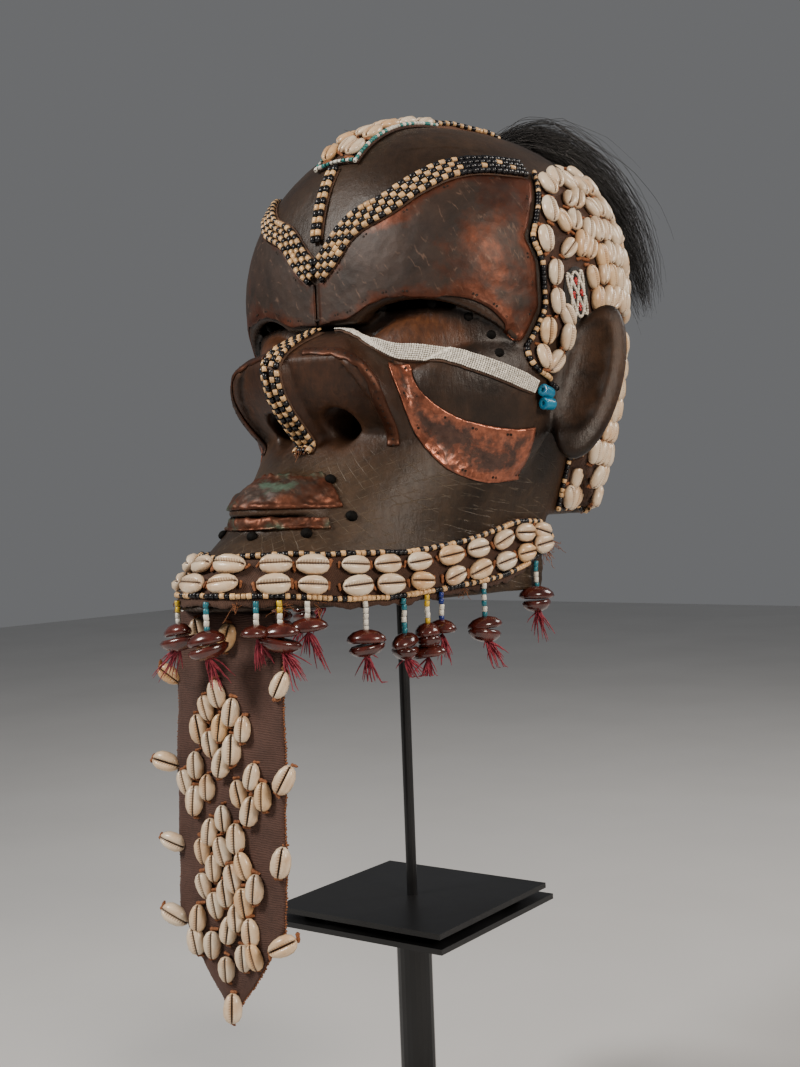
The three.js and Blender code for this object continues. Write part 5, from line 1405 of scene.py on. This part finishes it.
shells = np.array(BEARD_SHELLS, float)
chance = np.random.default_rng(51)
turn_of = np.radians(chance.uniform(-16, 16, len(shells)))
forward = np.tile([0.42, -1.0, 0], (len(shells), 1)) + chance.uniform(-0.12, 0.12, (len(shells), 3))
sew_cowries("beard_cowries", on_strap(*shells.T), np.stack([np.sin(turn_of), 0 * turn_of, np.cos(turn_of)], 1),
    forward,
    (19.5, 13.0, 8.0), 52)
edges = np.array(EDGE_SHELLS, float)
turn_of = np.radians(edges[:, 2])
places = on_strap(edges[:, 0], edges[:, 1], 1.0)
sew_cowries("beard_edge_cowries", places, np.stack([np.sin(turn_of), 0 * turn_of, np.cos(turn_of)], 1),
    np.tile([0.5, -1.0, 0.05], (len(edges), 1)), (20.0, 13.5, 9.5), 53)
sew_cowries("beard_tip_cowrie", on_strap(np.array([2.0]), np.array([262.5]), 2.0), np.array([[0.08, 0, 1.0]]),
    np.array([[0.5, -1.0, 0]]), (21.0, 14.0, 9.0), 54)
for side_name, column in (("left", -1), ("right", 0)):
    hem_line = even_line(strap_grid[3:, column], 150)
    dress(place_pieces("beard_hem_" + side_name, tie, brown_thread.material, hem_line + [0, -1.0, 0],
        np.array([1.0, 0, 0.5]), np.array([0, -1.0, 0]), (3.4 if column else 2.6, 1.5, 1.5), wobble=0.5, seed=55),
        "cloth")

# Hair at the back of the crown
# A tuft of long coarse black hair tied under the end of the crest. It springs back over the cap and
# falls behind it, with a few stray hairs at the front.
threads, given = new_tree("strands", ("Sides", "Int"))
laid = step(threads, "GeometryNodeMeshToCurve", {"Mesh": given["Geometry"]})[0]
section = step(threads, "GeometryNodeCurvePrimitiveCircle", {"Resolution": given["Sides"], "Radius": 1.0})[0]
laid = step(threads, "GeometryNodeCurveToMesh",
    {"Curve": laid, "Profile Curve": section, "Scale": kept(threads, "thick", "FLOAT"), "Fill Caps": True})[0]
end_tree(threads, laid, given["Finish"])


def strands(name, lines, thick, finish, slot, sides=3, tint=None):
    """Hairs or fibres: lines is (how many, points, 3) in mm and thick their half width."""
    count, length = lines.shape[:2]
    index = np.arange(count * length).reshape(count, length)
    mesh = bpy.data.meshes.new(name + "_lines")
    mesh.from_pydata((lines.reshape(-1, 3) * 0.001).tolist(),
        np.stack([index[:, :-1].ravel(), index[:, 1:].ravel()], 1).tolist(), [])
    holder = bpy.data.objects.new(name, mesh)
    bpy.context.scene.collection.objects.link(holder)
    paint(holder, "thick", (np.broadcast_to(thick, (count, length)) * 0.001).ravel())
    if tint is not None:
        paint(holder, "tint", np.repeat(tint, length, axis=0))
    worked(holder, threads, Finish=finish, Sides=sides)
    return dress(holder, slot)


hair = speckled("black_hair", 90.0, 3.0, (0.003, 0.003, 0.004), (0.014, 0.013, 0.014), (0.32, 0.5))
chance = np.random.default_rng(61)
HAIRS, KNOTS = 1250, 20
HAIR_LINE = np.array([(6, 112, 786, 9), (12, 132, 797, 17), (20, 154, 802, 25), (34, 182, 795, 34),
    (49, 209, 772, 38), (61, 232, 740, 34),
    (69, 245, 706, 26), (73, 253, 674, 16)], float)
along_hair = np.linspace(0, 1, KNOTS)[None, :, None]
hair_way = np.array([np.interp(np.linspace(0, 1, KNOTS), np.linspace(0, 1, 8), HAIR_LINE[:, k]) for k in range(4)]).T
place_in = chance.normal(0, 1, (HAIRS, 3))
place_in *= (chance.random(HAIRS) ** 0.45 / np.linalg.norm(place_in, axis=1))[:, None]
long_share = np.clip(chance.normal(0.82, 0.16, HAIRS), 0.35, 1.12)[:, None]
where = np.linspace(0, 1, KNOTS)[None] * long_share
lines = np.stack([np.interp(where, np.linspace(0, 1, KNOTS), hair_way[:, k]) for k in range(3)], -1)
width = np.interp(where, np.linspace(0, 1, KNOTS), hair_way[:, 3])
lock = chance.integers(0, 48, HAIRS)
gathered = (along_hair**1.5 * 0.86) * (chance.random((HAIRS, 1, 1)) < 0.85)
lines = lines + (place_in[:, None] * (1 - gathered) + place_in[lock][:, None] * gathered) * width[...,
    None] * np.array([1.0, 0.9, 0.95])
loose = (chance.random((HAIRS, 1, 1)) < 0.16) * chance.uniform(6, 34, (HAIRS, 1, 1))
lines = lines + loose * place_in[:, None] * along_hair**1.6 + np.array([0.1, 0.2,
    0.8]) * loose * along_hair**1.3 * chance.uniform(-0.2, 0.9, (HAIRS, 1, 1))
wavy = np.sin(along_hair * chance.uniform(2, 7, (HAIRS, 1, 1)) + chance.uniform(0, 6, (HAIRS, 1, 1)))
lines = lines + wavy * chance.normal(0, 1, (HAIRS, 1, 3)) * along_hair * 3.6
lines[..., 1] = np.where(lines[..., 1] > 264, 264 + (lines[..., 1] - 264) * 0.15, lines[..., 1])
lines[..., 2] = np.minimum(lines[..., 2], 834)
root = on_crown(chance.uniform(-8, 24, HAIRS), chance.uniform(110, 140, HAIRS))
lines = lines + (root[:, None] - lines[:, :1]) * (1 - along_hair) ** 3
for _ in range(2):
    flat = lines.reshape(-1, 3)
    inside = np.maximum(8.0 - bare_head(*flat.T), 0)
    lines = (flat + outward(flat) * inside[:, None] * 0.9
        * (np.tile(np.linspace(0, 1, KNOTS), HAIRS) > 0.08)[:, None]).reshape(lines.shape)
thick = 0.27 * (1 - 0.75 * np.linspace(0, 1, KNOTS)[None] ** 2) * chance.uniform(0.7, 1.25, (HAIRS, 1))
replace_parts(strands("hair_strands", lines, thick, hair.material, "hair"), "hair_tuft")
stray_root = on_crown(chance.uniform(-16, 16, 9), chance.uniform(-40, 60, 9))
stray = stray_root[:, None] + along_hair[:, ::2] * np.array([-0.3, -0.4, 0.45]) * chance.uniform(12, 30,
    (9, 1, 1)) + (
    np.array([-0.35, -0.1, -0.15]) * 16 * along_hair[:, ::2] ** 2 * chance.uniform(-1, 1.6, (9, 1, 1)))
strands("stray_hairs", stray, np.full((9, stray.shape[1]), 0.11), hair.material, "hair")

# Pendants under the collar
# Short strings of glass beads, each with one to three glossy dark red half-round seeds and a tassel of
# crimson fibre, hung along the lower edge of the collar.
half_seed = domed_piece("half_seed", [(0.43, 0.02), (0.5, 0.20), (0.465, 0.48), (0.33, 0.80), (0.14, 0.97)], 12,
    (0.0, 0.0, 0.10), (0.0, 0.0, 1.0), 0.12)
seed_skin = speckled("seed_skin", 120.0, 5.0, (0.030, 0.006, 0.004), (0.105, 0.018, 0.011), (0.16, 0.30), None, 0.6,
    Coat_Weight=0.6, Coat_Roughness=0.08)
crimson = speckled("crimson_fibre", 300.0, 4.0, (0.13, 0.008, 0.018), (0.36, 0.035, 0.06), (0.8, 0.6))
YELLOW, WHITE, BLUE = np.array([0.70, 0.47, 0.03]), np.array([0.74, 0.71, 0.63]), np.array([0.012, 0.03, 0.22])
SEA = np.array([0.02, 0.17, 0.22])
# degrees round, string drop, seeds, string colours, turn of the seeds
HUNG = [(2.0, 21, 2, (SEA, WHITE), 20), (8.4, 18, 1, (SEA, WHITE), 100), (11.2, 16, 2, (YELLOW, WHITE), 10),
    (14.5, 8, 1, (WHITE, WHITE), 40),
        (22, 23, 2, (WHITE, WHITE), 25), (28.3, 27, 2, (SEA, WHITE), -75), (33, 22, 3, (YELLOW, WHITE), -60),
        (36.3, 21, 1, (BLUE, WHITE), -30), (49.5, 26, 2, (WHITE, SEA), 50), (77, 23, 2, (SEA, WHITE), 60)]
HUNG += [(-4.6, 18, 2, (YELLOW, WHITE), -20), (-15, 20, 2, (SEA, WHITE), -50), (-22, 23, 2, (WHITE, SEA), -20),
    (-30, 26, 2, (YELLOW, WHITE), -45),
    (-38, 23, 2, (SEA, WHITE), 20), (-50, 24, 2, (WHITE, WHITE), -60), (-63, 24, 2, (SEA, WHITE), -70),
    (-76, 23, 2, (YELLOW, WHITE), 60)]
chance = np.random.default_rng(71)
string_parts, seed_parts, fibre_lines = [], [], []
for around, drop, seeds, colours, turn in HUNG:
    level_rise = float(smooth_line(COLLAR_LOW, np.array([abs(around)]), 1)[0]) - 1.0
    hang = on_collar(around, np.array([level_rise]))[0]
    away = outward(hang[None])[0] * [1, 1, 0]
    hang = hang + away / np.linalg.norm(away) * 4.6
    beads_count = max(int(drop / 4.0), 3)
    heights = -2.0 - 4.0 * np.arange(beads_count)
    places = hang + np.stack([0 * heights, 0 * heights, heights], 1) + chance.uniform(-0.2, 0.2, (beads_count, 3))
    tint = np.array([colours[k // 2 % 2] if colours[0] is not WHITE else colours[k % 2] for k in range(beads_count)])
    string_parts.append((places, np.tile([0, 0.05, 1.0], (beads_count, 1)), np.tile([0.7, -0.7, 0], (beads_count, 1)),
        np.tile([3.9, 3.7, 3.7], (beads_count, 1)), tint * chance.uniform(0.85, 1.1, (beads_count, 1))))
    low_point = heights[-1] - 2.5
    for k in range(seeds):
        spin = math.radians(turn + 28 * k + chance.uniform(-8, 8))
        tip = math.radians(chance.uniform(-16, 16))
        over = np.array([math.sin(tip) * math.cos(spin), math.sin(tip) * math.sin(spin), math.cos(tip)
            * (-1 if k % 2 else 1)])
        seed_parts.append((hang + [0, 0, low_point - 7.2 - 7.4 * k + (6.6 if k % 2 else 0)],
            [math.cos(spin), math.sin(spin), -math.sin(tip)], over,
            np.array([27.5, 18.5, 9.0]) * chance.uniform(0.92, 1.08)))
    foot = hang + [0, 0, low_point - 8.0 - 7.0 * (seeds - 1)]
    lean_way = np.array([chance.uniform(-0.25, 1.1), chance.uniform(-0.3, 0.6), 0]) * (1 if around > 0 else -1)
    for _ in range(24):
        way = lean_way + chance.normal(0, 0.34, 3) + [0, 0, -0.9]
        t = np.linspace(0, 1, 7)[:, None]
        fibre = foot + way * t * chance.uniform(7, 18) + np.array([0, 0, -4.0]) * t**2 + chance.normal(0, 0.6,
            3) * np.sin(t * 5)
        fibre[:, 2] = np.maximum(fibre[:, 2], 391.0)
        fibre_lines.append(fibre)
dress(place_pieces("pendant_strings", bead, bead_glass.material, *[np.concatenate(a) for a in zip(*string_parts)],
    wobble=0.15, seed=72), "pendants")
dress(place_pieces("pendant_seeds", half_seed, seed_skin.material, *[np.array(a, float) for a in zip(*seed_parts)],
    wobble=0.05, seed=73), "pendants", *[s["node"] for s in frame["record"]["subparts"]
    if s["node"].startswith("pendant_")])
strands("pendant_tassels", np.array(fibre_lines), np.full((len(fibre_lines), 7), 0.45)
    * [1, 1.2, 1.3, 1.2, 1.0, 0.8, 0.3], crimson.material,
        "pendants", 4)

# Loose thread
# Ends of the orange-brown sewing thread that have come undone along the collar and at the end of the nose
# band.
frayed = []
for around, rise, amount, long in ((89, 34, 26, 15), (86, 28, 12, 12), (43, 4, 7, 10), (12, 3, 14, 12),
    (16, 2, 10, 10), (6, 4, 8, 8), (-6, 4, 8, 8)):
    start = on_collar(around, np.array([float(rise)]), 3.0)[0]
    for _ in range(amount):
        t = np.linspace(0, 1, 8)[:, None]
        way = chance.normal(0, 0.55, 3) + [0.1, -0.1, -0.6]
        frayed.append(start + chance.normal(0, 1.5, 3) + way * t * long * chance.uniform(0.4, 1)
            + chance.normal(0, 1.5, 3) * np.sin(t * 6) * t)
end = nose_line[-1]
for _ in range(26):
    t = np.linspace(0, 1, 8)[:, None]
    frayed.append(end + outward(end[None])[0] * 2.5 + [chance.uniform(-6, 6), 0, 2]
        + (chance.normal(0, 0.35, 3) + [0, -0.25, -0.8]) * t * chance.uniform(4, 9))
strands("loose_thread", np.array(frayed), np.full((len(frayed), 8), 0.2), brown_thread.material, "cloth")

# Black plugs round the mouth and painted shade in the holes round the eyes
# Round holes bored for a fringe: round the mouth still filled with a lump of black resin, round the eyes sunk black
# discs of painted shade for the open holes.
# This black dome and its finish serve both the resin plugs of the mouth and the painted shade of the eye holes.
plug = domed_piece("plug", [(0.42, -0.3), (0.52, 0.0), (0.44, 0.26), (0.24, 0.42)], 10, (0, 0, -0.4), (0.02, 0, 0.45))
resin_and_hole_shade = speckled("black_resin_and_hole_shade", 500.0, 4.0, (0.0012, 0.0012, 0.0012), (0.006, 0.005, 0.004), (0.6, 0.85),
    (0.001, 0.7), Specular_IOR_Level=0.12)
MOUTH = np.array([(1.8, 46.2), (11.5, 47.6), (18.5, 58.5), (12.1, 83.6)])
places = on_wood(MOUTH[:, 0], MOUTH[:, 1])
places = np.r_[places, mirror(places[1:])]
dress(place_pieces("mouth_plugs", plug, resin_and_hole_shade.material, places + outward(places) * 0.4, (0.3, 0.1, 1),
    outward(places), (7.6, 8.4, 7.0),
    wobble=0.4, seed=81), "pegs", *["mouth_peg_%d" % k for k in range(1, 6)])
# The eye holes are open: the sunk black discs here are painted shade inside them.
EYES = np.array([(22.3, 203.9), (37.8, 204.9), (48.8, 194.8), (55, 181.3), (56.6, 167.9), (79.7, 129.4)])
places = on_wood(EYES[:, 0], EYES[:, 1])
places = np.r_[places, mirror(places)]
dress(place_pieces("eye_plugs", plug, resin_and_hole_shade.material, places - outward(places) * 0.8, (0.3, 0.1, 1), outward(places),
    (7.0, 7.4, 5.0),
    wobble=0.3, seed=82), "pegs")

# Painted steel stand
# A round steel tube and a thin rod welded to two square plates, all sprayed satin black.
satin = Finish("satin_black_paint")
orange_peel = satin.noise(900.0, satin.place(), 3.0)
dusty = satin.noise(9.0, satin.place(), 5.0, 0.6)
satin.surface(Base_Color=satin.ramp(dusty, (0.3, (0.0025, 0.0025, 0.0028)), (0.75, (0.008, 0.008, 0.0085))),
    Roughness=satin.ramp(dusty, (0.3, (0.30,)), (0.7, (0.46,))), Normal=satin.bump(orange_peel, 0.0002, 0.35))
for sub in frame["record"]["subparts"]:
    if sub["material_slot"] == "steel":
        node = bpy.data.objects[sub["node"]]
        node.data.materials.clear()
        node.data.materials.append(satin.material)
